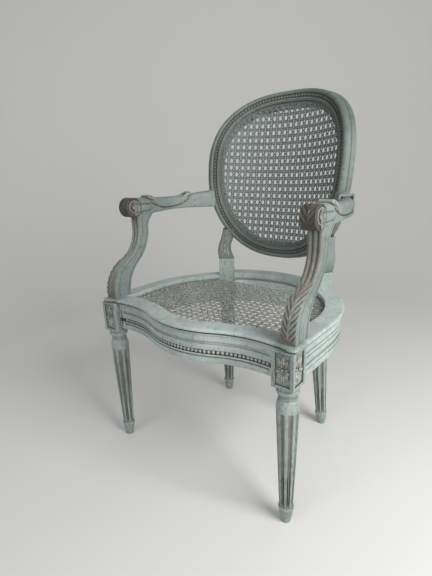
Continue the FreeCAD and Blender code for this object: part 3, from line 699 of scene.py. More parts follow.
@dataclass
class SeatFrame:
    """Front, side and rear rails with the bead row of the front."""

    plan: SeatPlan = field(default_factory=SeatPlan)
    bead_pitch: float = 9.6
    bead_radius: float = 4.1
    bead_height: float = 374.5
    bead_set: float = 8.2
    bead_clear: float = 16.0
    bead_flatness: float = 0.62
    rail_foot: float = 348.0
    rail_depth: float = 82.0
    post_half: float = 24.0
    sweep_steps: int = 72

    def front(self) -> Draft:
        """Front rail, its grooves stopped short of the blocks by an upright slot."""
        reach = self.plan.inner_x
        ends = [0.0, 0.2, 4.0, 4.2, 8.0, 8.2, 15.0, 15.2]
        marks = sorted({end / (2 * reach) for end in ends} | {1 - end / (2 * reach) for end in ends})
        marks += [marks[7] + (marks[8] - marks[7]) * index / 92 for index in range(1, 92)]
        rings = []
        for share in sorted(marks):
            gap = min(share, 1 - share) * 2 * reach
            ring = []
            for inset, z in FRONT_MOULDING:
                if gap < 15.1 and 351 < z < 403 and inset < 20:
                    inset = 8.6 if 4.1 < gap < 8.1 and z < 401 else 6.0
                ring.append(self.plan.front(inset, share) + Vector((0, 0, z)))
            rings.append(ring)
        draft = Draft()
        # The bead channel takes the near-black channel coat: painted shade behind and between the beads.
        draft.skin(rings, 0, band(29, 33, 3))
        return draft

    def sweep(self, moulding: Sequence[tuple[float, float]], path: Callable[[float, float], Vector]) -> Draft:
        """One rail as a moulding carried along a path.

        Args:
            moulding: section, as pairs of inset and height.
            path: gives a point from its inset and its share of the way.

        Returns:
            The rail, without its tenons.
        """
        rings = []
        for index in range(self.sweep_steps + 1):
            ring = [path(inset, index / self.sweep_steps) + Vector((0, 0, z)) for inset, z in moulding]
            rings.append(ring)
        draft = Draft()
        draft.skin(rings)
        return draft

    def rail_tenon(self, draft: Draft, root: Vector, way: Vector) -> None:
        """Tongue of a rail, hidden in its post or block."""
        place = Matrix.Translation(root) @ way.to_track_quat("Y", "Z").to_matrix().to_4x4()
        draft.skin(slab((-6, -4, -23), (6, 18, 23), 0.6, place))

    def build(self) -> dict[str, Draft]:
        """Make the rails with their tenons.

        Returns:
            The four rails by the name of their solid.
        """
        tenon_z = self.rail_foot + self.rail_depth * 0.42
        front = self.front()
        for sign in (-1, 1):
            self.rail_tenon(front, Vector((sign * (LEG_X - 25), LEG_LINE, tenon_z)), Vector((sign, 0, 0)))
        side = self.sweep(SIDE_MOULDING, self.plan.side)
        root = Vector((0, ROUND_Y, tenon_z)) + POST_OUT * (POST_FACE + 19)
        self.rail_tenon(side, Vector((LEG_X, LEG_LINE + 25, tenon_z)), Vector((0, -1, 0)))
        self.rail_tenon(side, root + POST_ACROSS * self.post_half, -POST_ACROSS)
        rear = self.sweep(REAR_MOULDING, self.plan.rear)
        self.rail_tenon(rear, root - POST_ACROSS * self.post_half, POST_ACROSS)
        other = Vector((-root.x, root.y, root.z)) + Vector((POST_ACROSS.x, -POST_ACROSS.y, 0)) * self.post_half
        self.rail_tenon(rear, other, Vector((-POST_ACROSS.x, POST_ACROSS.y, 0)))
        return {
            "front_rail": front, "side_rail_right": side, "side_rail_left": side.mirrored(), "rear_rail": rear,
        }

    def bead_spots(self) -> list[tuple[Vector, Vector]]:
        """Places of the front rail's beads, with the way each faces."""
        spots = []
        reach = 2 * self.plan.inner_x
        count = int((reach - 2 * self.bead_clear) / self.bead_pitch)
        for index in range(count):
            share = 0.5 + (index + 0.5 - count / 2) * self.bead_pitch / reach
            place = self.plan.front(self.bead_set, share) + Vector((0, 0, self.bead_height))
            ahead = self.plan.front(self.bead_set, min(share + 0.01, 1))
            ahead = ahead - self.plan.front(self.bead_set, share - 0.01)
            spots.append((place, Vector((ahead.y, -ahead.x, 0)).normalized()))
        return spots

    def dress(self, paint: Sequence[bpy.types.Material], repeat: Repeat) -> list[Dressed]:
        """Finish the rails and set the bead row.

        Args:
            paint: plain paint, bead paint, a near-black coat and the channel's painted shade.
            repeat: tree that sets the beads.

        Returns:
            The four rails and the beads.
        """
        pieces = [
            Dressed(draft.piece(f"look_{name}", paint), Slot.WOOD.value, (name,))
            for name, draft in self.build().items()
        ]
        spots = self.bead_spots()
        beads = repeat.along("look_front_beads", spots, self.bead_radius, self.bead_flatness, paint[1])
        return [*pieces, Dressed(beads, Slot.WOOD.value, ("front_rail",))]


# Legs and blocks.


@dataclass
class TurnedLeg:
    """Fluted leg on a turned toe, ending in a dome, a neck and a collar."""

    foot_z: float = 43.0
    head_z: float = 292.0
    foot_radius: float = 14.8
    head_radius: float = 24.0
    flutes: int = 8
    rod_top: float = 128.0
    steps: int = 128
    first_fluted_row: int = 22
    last_fluted_row: int = 81

    def shaft_radius(self, angle: float, z: float) -> float:
        """Radius of the fluted shaft.

        Args:
            angle: angle round the leg.
            z: height along the leg.

        Returns:
            The radius there, smaller in a flute.
        """
        share = (z - self.foot_z) / (self.head_z - self.foot_z)
        base = self.foot_radius + (self.head_radius - self.foot_radius) * min(share * 1.03, 1) ** 0.9
        pitch = 2 * math.pi / self.flutes
        off = (angle + pitch / 2) % pitch - pitch / 2
        half = base * pitch * 0.31
        to_end = min(z - self.foot_z - 3, self.head_z - 8 - z)
        if to_end <= 0:
            return base
        room = half if to_end > half else math.sqrt(max(half ** 2 - (half - to_end) ** 2, 0))
        across = abs(off) * base
        if across >= room or room <= 0:
            return base
        sink = 4.6 * math.sqrt(1 - (across / room) ** 4) * min(1, base / 20) * min(1, room / half + 0.2)
        if z < self.rod_top and across < half * 0.5:
            ease = min((self.rod_top - z) / 5, 1)
            sink -= 2.6 * math.sqrt(max(1 - (across / (half * 0.5)) ** 2, 0)) * ease
        return base - max(sink, 0)

    def painter(self, plain: int, flute_shade_and_wear: int) -> Callable[[int, int], int]:
        """Painter that gives the flutes their own coat, a darker one: painted shade in the flutes together with
        brown worn paint.

        Args:
            plain: material index of the turned wood.
            flute_shade_and_wear: material index inside the flutes.

        Returns:
            A painter for Draft.skin.
        """

        def coat(row: int, column: int) -> int:
            """Material index of one face.

            Args:
                row: ring of the face.
                column: place of the face on its ring.

            Returns:
                The material index.
            """
            share = (column + 0.5) / self.steps * self.flutes
            inside = abs((share + 0.5) % 1 - 0.5) < 0.27
            # Faces inside the flutes take the darker coat: painted shade in the recess, with brown wear.
            return flute_shade_and_wear if inside and self.first_fluted_row <= row < self.last_fluted_row else plain

        return coat

    def rings(self, place: Matrix) -> list[list[Vector]]:
        """All the rings of the leg from toe to collar.

        Args:
            place: frame of the leg, its axis along Z.

        Returns:
            Rings with the same number of points.
        """
        profile = [
            (0.02, 0), (9.8, 0), (10.5, 1), (11.6, 7), (10.9, 7.8), (11.9, 8.6), (13.2, 16), (12.5, 16.9),
            (13.6, 17.8), (14.9, 26), (14.2, 27), (15.2, 28), (15.8, 34.4), (16.2, 35), (17.2, 36.4),
            (17.5, 39), (17.2, 41.6), (16, 42.8), (14.6, 43.2),
        ]
        rings = turned(profile, place, self.steps)
        levels = [44 + (self.head_z - 44) * index / 66 for index in range(67)]
        for z in levels:
            ring = []
            for step in range(self.steps):
                angle = 2 * math.pi * step / self.steps
                radius = self.shaft_radius(angle, z)
                ring.append(place @ Vector((radius * math.cos(angle), radius * math.sin(angle), z)))
            rings.append(ring)
        top = [
            (23.8, 296), (23.2, 301), (21.8, 306), (20.2, 310), (18.2, 312), (18.2, 313), (19.6, 313.6),
            (20, 315), (19.6, 316.4), (18.4, 317), (18.2, 321), (19.2, 323.4), (22, 324.2), (23.8, 326),
            (24.5, 329), (24.3, 332), (23.3, 334.2), (22.6, 334.8), (23.4, 335.6), (24, 337.4),
            (24, 341), (0.02, 341),
        ]
        return rings + turned(top, place, self.steps)


@dataclass
class CarvedBlock:
    """Square block over a leg, each outward face with a framed sunk leaf."""

    side: float = 50.0
    low: float = 340.0
    high: float = 421.0

    def petal(self, draft: Draft, place: Matrix, root: tuple[float, float], angle: float, size: Point) -> None:
        """One carved petal on a face; the face is the X-Z plane of the place.

        Args:
            draft: draft to add to.
            place: frame of the face, its outside along -Y.
            root: where the petal starts.
            angle: way it points, in degrees from straight up.
            size: length, width and rise.
        """
        length, width, rise = size
        lean = math.radians(angle)
        ahead = Vector((math.sin(lean), 0, math.cos(lean)))
        across = Vector((math.cos(lean), 0, -math.sin(lean)))
        rings = []
        for row in range(13):
            share = row / 12
            half = max(width / 2 * math.sin(math.pi * (0.06 + 0.9 * share)) ** 0.7, 0.2)
            lift = rise * (0.35 + 0.65 * share ** 0.7) * math.sqrt(max(1 - max(share - 0.8, 0) ** 2 * 20, 0.1))
            ring = []
            for side, up in ((-1, 0.1), (-0.75, 0.75), (-0.4, 1.0), (-0.12, 0.72), (0, 0.5), (0.12, 0.72),
                             (0.4, 1.0), (0.75, 0.75), (1, 0.1), (0.9, -0.7), (-0.9, -0.7)):
                spot = Vector((root[0], 0, root[1])) + ahead * (length * share) + across * (half * side)
                ring.append(place @ (spot - Vector((0, lift * up, 0))))
            rings.append(ring)
        draft.skin(rings, 1)

    def spray(self, draft: Draft, place: Matrix) -> None:
        """Flower over a spray of leaves, as carved on the block.

        Args:
            draft: draft to add to.
            place: frame of the face, its outside along -Y.
        """
        for angle in (180, 132, 228, 90, 270):
            self.petal(draft, place, (0, -4), angle, (23 if angle == 180 else 18, 9, 3.4))
        for angle in (28, -28):
            self.petal(draft, place, (0, 4), angle, (24, 9, 3.0))
        self.petal(draft, place, (0, 6), 0, (26, 8, 3.8))
        for index in range(6):
            turn = 60 * index + 30
            root = (2 * math.sin(math.radians(turn)), 2 + 2 * math.cos(math.radians(turn)))
            self.petal(draft, place, root, turn, (9, 6.4, 4.4))
        centre = place @ Matrix.Translation((0, -2.6, 2)) @ Matrix.Rotation(math.pi / 2, 4, "X")
        draft.skin(turned([(0.02, 0), (3, 0), (3.2, 1.2), (2.2, 2.4), (0.02, 2.6)], centre, 20), 0)

    def build(self, draft: Draft, centre: Vector, faces: Sequence[float]) -> None:
        """Add the block.

        Args:
            draft: draft to add to.
            centre: middle of the block in plan.
            faces: turns about Z of the faces that carry a panel.
        """
        half = self.side / 2
        draft.skin(slab(
            (centre.x - half + 4, centre.y - half + 4, self.low),
            (centre.x + half - 4, centre.y + half - 0.2, self.high + 1), 0.8,
        ))
        for x, y in ((-half, -half), (half - 8, -half), (half - 8, half - 8)):
            draft.skin(slab(
                (centre.x + x, centre.y + y, self.low), (centre.x + x + 8, centre.y + y + 8, self.high), 0.9,
            ))
        for angle in faces:
            turn = Matrix.Translation(centre) @ Matrix.Rotation(angle, 4, "Z")
            middle = (self.low + self.high) / 2
            bars = (
                ((-half + 7, self.low), (half - 7, self.low + 7)),
                ((-half + 7, self.high - 5), (half - 7, self.high)),
            )
            for (x0, z0), (x1, z1) in bars:
                draft.skin(slab((x0, -half + 0.3, z0), (x1, -half + 3, z1), 0.8, turn))
            face = turn @ Matrix.Translation((0, -half + 4.2, middle))
            self.spray(draft, face)


@dataclass
class FrontLeg:
    """Front leg with its carved block and the corner of the seat's lip."""

    leg: TurnedLeg = field(default_factory=TurnedLeg)
    block: CarvedBlock = field(default_factory=CarvedBlock)
    plan: SeatPlan = field(default_factory=SeatPlan)
    corner_radius: float = 14.0

    def lip(self, draft: Draft) -> None:
        """Add the corner of the seat's lip over the right block.

        Args:
            draft: draft to add to.
        """
        inner_x, inner_y = self.plan.inner_x, LEG_LINE + 25.0
        rows = [
            (421, 4), (421.3, 2.4), (422.2, 1.4), (423.6, 0.4), (425.4, 0.2), (427.2, 0.8), (428.9, 2.4),
            (429.8, 5), (430, 8),
        ]
        rings = []
        for z, inset in rows:
            ring = [Vector((inner_x, inner_y, z)), Vector((inner_x, self.plan.front(inset, 1.0).y, z))]
            radius = self.plan.radius()
            corner = max(self.corner_radius - inset, 1.0)
            cx = HALF_WIDTH - inset - corner
            base = LEG_LINE - self.plan.hollow - radius
            reach = radius + inset
            cy = base + math.sqrt((reach + corner) ** 2 - (cx - self.plan.reach) ** 2)
            toward = (Vector((self.plan.reach, base, 0)) - Vector((cx, cy, 0))).normalized()
            meet = Vector((cx, cy, 0)) + toward * corner
            for index in range(1, 7):
                x = inner_x + (meet.x - inner_x) * index / 6
                ring.append(Vector((x, base + math.sqrt(reach ** 2 - (x - self.plan.reach) ** 2), z)))
            start = math.atan2(toward.y, toward.x)
            for index in range(1, 10):
                turn = start * (1 - index / 9)
                ring.append(Vector((cx + corner * math.cos(turn), cy + corner * math.sin(turn), z)))
            ring.append(Vector((HALF_WIDTH - inset, inner_y, z)))
            rings.append(ring)
        draft.skin(rings)

    def build(self) -> Draft:
        """Right leg with its block and lip."""
        draft = Draft()
        draft.skin(self.leg.rings(Matrix.Translation((LEG_X, LEG_LINE, 0))), 0, self.leg.painter(0, 3))
        self.block.build(draft, Vector((LEG_X, LEG_LINE, 0)), (0.0, math.pi / 2))
        self.lip(draft)
        return draft

    def dress(self, paint: Sequence[bpy.types.Material]) -> list[Dressed]:
        """Finish both front legs."""
        return both_sides(self.build(), "front_leg", paint)


# The oval back.


@dataclass
class OvalBack:
    """The hollow surface of the back and the oval drawn on it."""

    radius: float = 302.0
    half_width: float = 210.0
    half_height: float = 238.0
    power: float = 2.42
    egg: float = 0.068
    rake: float = math.radians(8.5)
    middle: float = 728.0

    def place(self) -> Matrix:
        """Frame of the raked back."""
        turn = Matrix.Rotation(-self.rake, 4, "X")
        return Matrix.Translation((0, LEG_LINE + 440.0, self.middle)) @ turn

    def spot(self, across: float, up: float, deep: float) -> Vector:
        """Point of the hollow back.

        Args:
            across: distance round the hollow.
            up: height along the rake.
            deep: depth behind the face.

        Returns:
            The point in the chair.
        """
        turn = across / self.radius
        reach = self.radius + deep
        return self.place() @ Vector((reach * math.sin(turn), reach * math.cos(turn) - self.radius, up))

    def edge(self, angle: float) -> Vector:
        """Outer edge of the hoop, flattened.

        Args:
            angle: angle round the oval.

        Returns:
            Distance round the hollow and height.
        """
        power = 2 / self.power
        cosine, sine = math.cos(angle), math.sin(angle)
        across = self.half_width * math.copysign(abs(cosine) ** power, cosine) * (1 + self.egg * sine)
        up = self.half_height * math.copysign(abs(sine) ** power, sine)
        return Vector((self.radius * math.asin(across / self.radius), up, 0))

    def inset(self, angle: float, distance: float) -> Vector:
        """Flattened point the given distance inside the edge."""
        along = (self.edge(angle + 0.004) - self.edge(angle - 0.004)).normalized()
        return self.edge(angle) + Vector((-along.y, along.x, 0)) * distance

    def inside(self, angle: float, distance: float, deep: float) -> Vector:
        """Point in the chair the given distance inside the edge and depth behind the face."""
        flat = self.inset(angle, distance)
        return self.spot(flat.x, flat.y, deep)

    def facing(self, angle: float, distance: float) -> Vector:
        """Direction square to the face, towards the sitter."""
        return (self.inside(angle, distance, -1) - self.inside(angle, distance, 0)).normalized()


HOOP_PROFILE = (
    (0.8, 32), (0, 31), (0, 20), (0.9, 19), (0.9, 17.6), (0, 16.6), (0, 9.5), (0.4, 6.4), (1.8, 3.4),
    (4, 1.2), (6.6, 0.3), (9.2, 0.5), (11, 1.6), (11.9, 3), (12.6, 4.3), (17.5, 4.9), (22.3, 4.3),
    (22.9, 1.6), (23.8, 0.4), (25.6, 0), (27.4, 0.2), (28.2, 0.9), (29.2, 0.3), (30.8, 0.6),
    (31.8, 1.8), (32.2, 5.4), (33, 6), (45, 6), (45.8, 6.8), (46, 8), (46, 31), (45.2, 32),
)


@dataclass
class OvalHoop:
    """Moulded hoop of the back with its bead row and drilled margin."""

    back: OvalBack = field(default_factory=OvalBack)
    upper: float = 48.0
    lower: float = 52.0
    rail_steps: int = 64
    bead_set: float = 17.5
    bead_deep: float = 4.0
    bead_pitch: float = 9.4
    bead_radius: float = 3.7
    bead_flatness: float = 0.85
    hole_set: float = 41.5
    hole_deep: float = 3.7
    hole_pitch: float = 17.5
    hole_radius: float = 1.7
    hole_flatness: float = 0.3

    def run(self, start: float, end: float, steps: int) -> list[list[Vector]]:
        """Rings of the hoop.

        Args:
            start: first angle in degrees.
            end: last angle in degrees.
            steps: spans between them.

        Returns:
            One ring more than there are spans.
        """
        rings = []
        for index in range(steps + 1):
            angle = math.radians(start + (end - start) * index / steps)
            rings.append([self.back.inside(angle, inset, deep) for inset, deep in HOOP_PROFILE])
        return rings

    def tongue(self, draft: Draft, angle: float, pointing: float) -> None:
        """Add the tenon of a rail of the hoop, hidden in the post.

        Args:
            draft: draft to add to.
            angle: angle of the joint in degrees.
            pointing: 1 or -1, the way the tenon points along the hoop.
        """
        turn = math.radians(angle)
        root = self.back.inside(turn, 23, 19)
        ahead = (self.back.inside(turn + 0.01, 23, 19) - root).normalized() * pointing
        deeper = -self.back.facing(turn, 23)
        across = deeper.cross(ahead)
        rows = [(*column, 0) for column in zip(deeper, ahead, across)]
        place = Matrix.Translation(root) @ Matrix([*[list(row[:3]) + [0.0] for row in rows], [0, 0, 0, 1]])
        draft.skin(slab((-5, -4, -11), (5, 16, 11), 0.5, place))

    def build(self) -> dict[str, Draft]:
        """Make the top and bottom rails with their tenons.

        Returns:
            Both rails by the name of their solid.
        """
        top, foot = Draft(), Draft()
        # Each rail's bead channel takes the near-black channel coat: painted shade behind and between the
        # beads.
        top.skin(self.run(self.upper, 180 - self.upper, self.rail_steps), 0, band(13, 17, 2))
        foot.skin(self.run(-180 + self.lower, -self.lower, self.rail_steps), 0, band(13, 17, 2))
        for draft, angle, pointing in (
            (top, self.upper, -1), (top, 180 - self.upper, 1),
            (foot, -self.lower, 1), (foot, 180 + self.lower, -1),
        ):
            self.tongue(draft, angle, pointing)
        return {"back_top_rail": top, "back_bottom_rail": foot}

    def dress(
        self, paint: Sequence[bpy.types.Material], pit: bpy.types.Material, repeat: Repeat, coarse: Repeat,
    ) -> list[Dressed]:
        """Finish the rails and set the beads and drilled holes of the whole hoop.

        Args:
            paint: hoop paint, bead paint and the channel's near-black painted shade.
            pit: near-black discs for the drilled holes, painted shade where the holes lie hollow.
            repeat: tree that sets the beads.
            coarse: tree that sets the holes.

        Returns:
            Both rails, the beads and the holes.
        """
        pieces = [
            Dressed(draft.piece(f"look_{name}", paint), Slot.WOOD.value, (name,))
            for name, draft in self.build().items()
        ]
        ring = ("back_top_rail", "back_bottom_rail", "back_post_right", "back_post_left")
        spots = self.spots(self.bead_set, self.bead_deep, self.bead_pitch)
        beads = repeat.along("look_hoop_beads", spots, self.bead_radius, self.bead_flatness, paint[1])
        # Each drilled hole is drawn as a flat near-black disc on the face: painted shade for the hollow of the
        # hole.
        spots = self.spots(self.hole_set, self.hole_deep, self.hole_pitch)
        holes = coarse.along("look_hoop_holes", spots, self.hole_radius, self.hole_flatness, pit)
        return [*pieces, Dressed(beads, Slot.WOOD.value, ring), Dressed(holes, Slot.WOOD.value, ring)]

    def spots(self, distance: float, deep: float, pitch: float) -> list[tuple[Vector, Vector]]:
        """Evenly spaced places once round the hoop.

        Args:
            distance: distance inside the edge.
            deep: depth behind the face.
            pitch: wished distance between two places.

        Returns:
            Each place with the way it faces.
        """
        fine = 1440
        walk = [math.radians(360 * index / fine) for index in range(fine + 1)]
        path = [self.back.inside(angle, distance, deep) for angle in walk]
        total = sum((b - a).length for a, b in zip(path, path[1:]))
        count = round(total / pitch)
        step, gone, spots = total / count, 0.0, []
        for index in range(fine):
            if gone >= len(spots) * step and len(spots) < count:
                spots.append((path[index], self.back.facing(walk[index], distance)))
            gone += (path[index + 1] - path[index]).length
        return spots


# Cane panels.


@dataclass
class CanePanel:
    """Six-way woven panel: pairs of strands both ways and diagonals across them."""

    pitch: tuple[float, float]
    pair: tuple[float, float]
    strand: float
    outline: list[Vector]
    surface: Callable[[float, float, float], Vector]
    centre: tuple[float, float] = (0.0, 0.0)
    thick: float = 0.7
    wave: float = 0.35

    def crossings(self, start: Vector, way: Vector) -> list[float]:
        """Where a line meets the outline.

        Args:
            start: a point on the line.
            way: direction of the line.

        Returns:
            Sorted distances along the line.
        """
        hits = []
        for a, b in zip(self.outline, self.outline[1:] + self.outline[:1]):
            edge = b - a
            cross = way.x * edge.y - way.y * edge.x
            if abs(cross) < 1e-9:
                continue
            off = a - start
            share = (off.x * way.y - off.y * way.x) / cross
            if 0 <= share < 1:
                hits.append((off.x * edge.y - off.y * edge.x) / cross)
        return sorted(hits)

    def ribbon(self, draft: Draft, start: Vector, way: Vector, level: float, sway: float, shift: float) -> None:
        """Add one strand from edge to edge.

        Args:
            draft: draft to add to.
            start: a point on the strand's line.
            way: direction of the line.
            level: depth of the strand.
            sway: how far it bends up and down over the others.
            shift: phase of the bending.
        """
        hits = self.crossings(start, way)
        if len(hits) < 2 or hits[-1] - hits[0] < 8:
            return
        low, high = hits[0], hits[-1]
        step = min(self.pitch) / 2
        count = max(int((high - low) / step), 2)
        across = Vector((-way.y, way.x, 0)) * (self.strand / 2)
        rings = []
        for index in range(count + 1):
            along = low + (high - low) * index / count
            spot = start + way * along
            wave = level + sway * math.cos(math.pi * along / step + shift)
            ring = []
            section = (
                (-1, 0.12), (-0.45, -0.2), (0.45, -0.2), (1, 0.12), (0.8, self.thick), (-0.8, self.thick),
            )
            for side, lift in section:
                place = spot + across * side
                ring.append(self.surface(place.x, place.y, wave + lift))
            rings.append(ring)
        draft.skin(rings)

    def build(self) -> Draft:
        """Weave the panel."""
        draft = Draft()
        xs = [point.x for point in self.outline]
        ys = [point.y for point in self.outline]
        cx, cy = self.centre
        px, py = self.pitch
        columns = range(int((min(xs) - cx) / px) - 1, int((max(xs) - cx) / px) + 2)
        rows = range(int((min(ys) - cy) / py) - 1, int((max(ys) - cy) / py) + 2)
        for column in columns:
            for side in (-1, 1):
                start = Vector((cx + column * px + side * self.pair[0], cy, 0))
                self.ribbon(draft, start, Vector((0, 1, 0)), self.wave * side, self.wave, 0)
        for row in rows:
            for side in (-1, 1):
                start = Vector((cx, cy + row * py + side * self.pair[1], 0))
                self.ribbon(draft, start, Vector((1, 0, 0)), self.wave * side, self.wave, math.pi)
        reach = len(columns) + len(rows)
        for sign in (-1, 1):
            way = Vector((px, sign * py, 0)).normalized()
            for index in range(-reach, reach + 1):
                start = Vector((cx + (index + 0.5) * px, cy, 0))
                self.ribbon(draft, start, way, 1.5 * self.wave * sign, 0.6 * self.wave, 0)
        return draft

    def dress(self, node: str, material: bpy.types.Material) -> list[Dressed]:
        """Finish the panel.

        Args:
            node: name of the solid.
            material: finish of the strands.

        Returns:
            The one piece.
        """
        return [Dressed(self.build().piece(f"look_{node}", [material]), Slot.CANE.value, (node,))]

    @classmethod
    def of_back(cls, back: OvalBack) -> "CanePanel":
        """Panel bent to the hollow of the back.

        Args:
            back: surface and oval of the back.

        Returns:
            The panel.
        """
        steps, inset, deep = 160, 38.0, 4.3
        outline = [back.inset(2 * math.pi * index / steps, inset) for index in range(steps)]
        return cls(
            (17.5, 20.0), (2.9, 2.3), 3.4, outline,
            lambda x, y, extra: back.spot(x, y, deep + extra), (0.0, -6.0),
        )

    @classmethod
    def of_seat(cls, plan: SeatPlan) -> "CanePanel":
        """Flat panel in the ledge of the seat.

        Args:
            plan: plan of the seat.

        Returns:
            The panel.
        """
        inset, height = 46.5, 417.3
        return cls(
            (18.5, 18.5), (2.9, 2.9), 2.7, plan.ring(inset),
            lambda x, y, extra: Vector((x, y, height - extra)), (0.0, LEG_LINE + 195.0), 0.5, 0.2,
        )


# Back posts.


@dataclass
class BackPost:
    """Rear leg, plain block, waisted neck and side of the hoop in one piece."""

    leg: TurnedLeg
    hoop: OvalHoop
    block_top: float = 480.0
    neck_rise: float = 92.0
    neck_thick: float = 34.0
    swell: float = 6.0
    waist: float = 10.0
    width: float = 48.0
    thick: float = 38.0

    def foot_place(self) -> Matrix:
        """Frame of the leaning rear leg."""
        foot = Vector((176.0, LEG_LINE + 382.0, 0))
        centre = Vector((0, ROUND_Y, 0)) + POST_OUT * (POST_FACE + 19)
        axis = (Vector((centre.x, centre.y, BLOCK_FOOT)) - foot).normalized()
        drop = math.hypot(axis.x, axis.y) * 10.5 + 1
        return Matrix.Translation(foot - axis * drop) @ axis.to_track_quat("Z", "Y").to_matrix().to_4x4()

    def front_set(self, height: float) -> float:
        """Distance of the hollow face from the round's centre at a height.

        Args:
            height: height above the floor.

        Returns:
            The distance along the middle line of the post.
        """
        back = self.hoop.back
        up = (height - back.middle) / math.cos(back.rake)
        turn = POST_TURN
        for _ in range(8):
            point = back.spot(back.radius * turn, up, 0)
            turn += POST_TURN - math.atan2(point.x, point.y - ROUND_Y)
        return (point - Vector((0, ROUND_Y, 0))).dot(POST_OUT)

    def ring(
        self, height: float, width: float, thick: float, shift: float, front: float, ease: float,
    ) -> list[Vector]:
        """Eased rectangle across the stile.

        Args:
            height: height of the section.
            width: width across the front.
            thick: thickness front to back.
            shift: how far it stands to the side.
            front: distance of its front from the round's centre.
            ease: width of the eased corners.

        Returns:
            Twelve points.
        """
        half = width / 2
        plan = [
            (-half + ease, 0), (-half * 0.4, 0), (half * 0.4, 0), (half - ease, 0), (half, ease),
            (half, thick * 0.35), (half, thick - ease), (half - ease, thick), (-half + ease, thick),
            (-half, thick - ease), (-half, thick * 0.35), (-half, ease),
        ]
        centre = Vector((0, ROUND_Y, height)) + POST_OUT * front + POST_ACROSS * shift
        return [centre + POST_ACROSS * x + POST_OUT * y for x, y in plan]

    def build(self) -> Draft:
        """Right post."""
        draft = Draft()
        leg = self.leg.rings(self.foot_place())
        level = [[Vector((point.x, point.y, max(point.z, 0.0))) for point in ring] for ring in leg]
        draft.skin(level, 2, self.leg.painter(2, 4))
        start = self.front_set(self.block_top)
        rings = []
        levels = [(336, 1.2), (337, 0.4), (429, 0.4)]
        for height, ease in levels:
            rings.append(self.ring(height, self.width, self.thick, 0, POST_FACE, ease))
        for share in (0.0, 0.5, 0.96, 1.0):
            height = 430 + (self.block_top - 430) * share
            front = POST_FACE + (start - POST_FACE) * share
            ease = 0.4 if share < 1 else 1.8
            rings.append(self.ring(height, self.width, self.thick - 4 * share, 0, front, ease))
        draft.skin(rings, 2)
        neck = []
        for index in range(25):
            share = index / 24
            height = self.block_top - 1 + (self.neck_rise + 1) * share
            width = 47 - 10 * share - 3.0 * math.sin(math.pi * share)
            if index == 0:
                width -= 2.4
            ease = 3.2 if index else 4.0
            front = self.front_set(height)
            neck.append(self.ring(height, width, self.neck_thick, self.sway(share), front, ease))
        draft.skin(neck)
        # The bead channel takes the near-black channel coat: painted shade behind and between the beads.
        draft.skin(self.hoop.run(-self.hoop.lower, self.hoop.upper, 110), 0, band(13, 17, 3))
        for across in (-9, 0, 9):
            self.reed(draft, across, 1.5)
        return draft

    def dress(self, paint: Sequence[bpy.types.Material]) -> list[Dressed]:
        """Finish both posts."""
        return both_sides(self.build(), "back_post", paint)

    def sway(self, share: float) -> float:
        """How far the neck stands to the side at a share of its height."""
        return self.swell * math.sin(math.pi * min(share / 0.62, 1)) - self.waist * max(share - 0.55, 0) / 0.45

    def reed(self, draft: Draft, across: float, rise: float) -> None:
        """Add a raised reed up the front of the neck, meeting the hoop.

        Args:
            draft: draft to add to.
            across: its place across the neck.
            rise: how far it stands proud.
        """
        rings = []
        for index in range(19):
            share = index / 18
            height = self.block_top + 6 + (self.neck_rise - 8) * share
            half = 3.2 * math.sin(math.pi * min(share * 1.6 + 0.12, 0.5)) * (1 - 0.35 * share)
            centre = Vector((0, ROUND_Y, height)) + POST_OUT * self.front_set(height)
            centre += POST_ACROSS * (self.sway(share) + across * (1 - 0.3 * share))
            turns = [2 * math.pi * step / 10 for step in range(10)]
            rings.append([
                centre + POST_ACROSS * (half * math.cos(turn)) + POST_OUT * (rise * math.sin(turn) + 0.5)
                for turn in turns
            ])
        draft.skin(rings, 1)


# Arms and their supports.


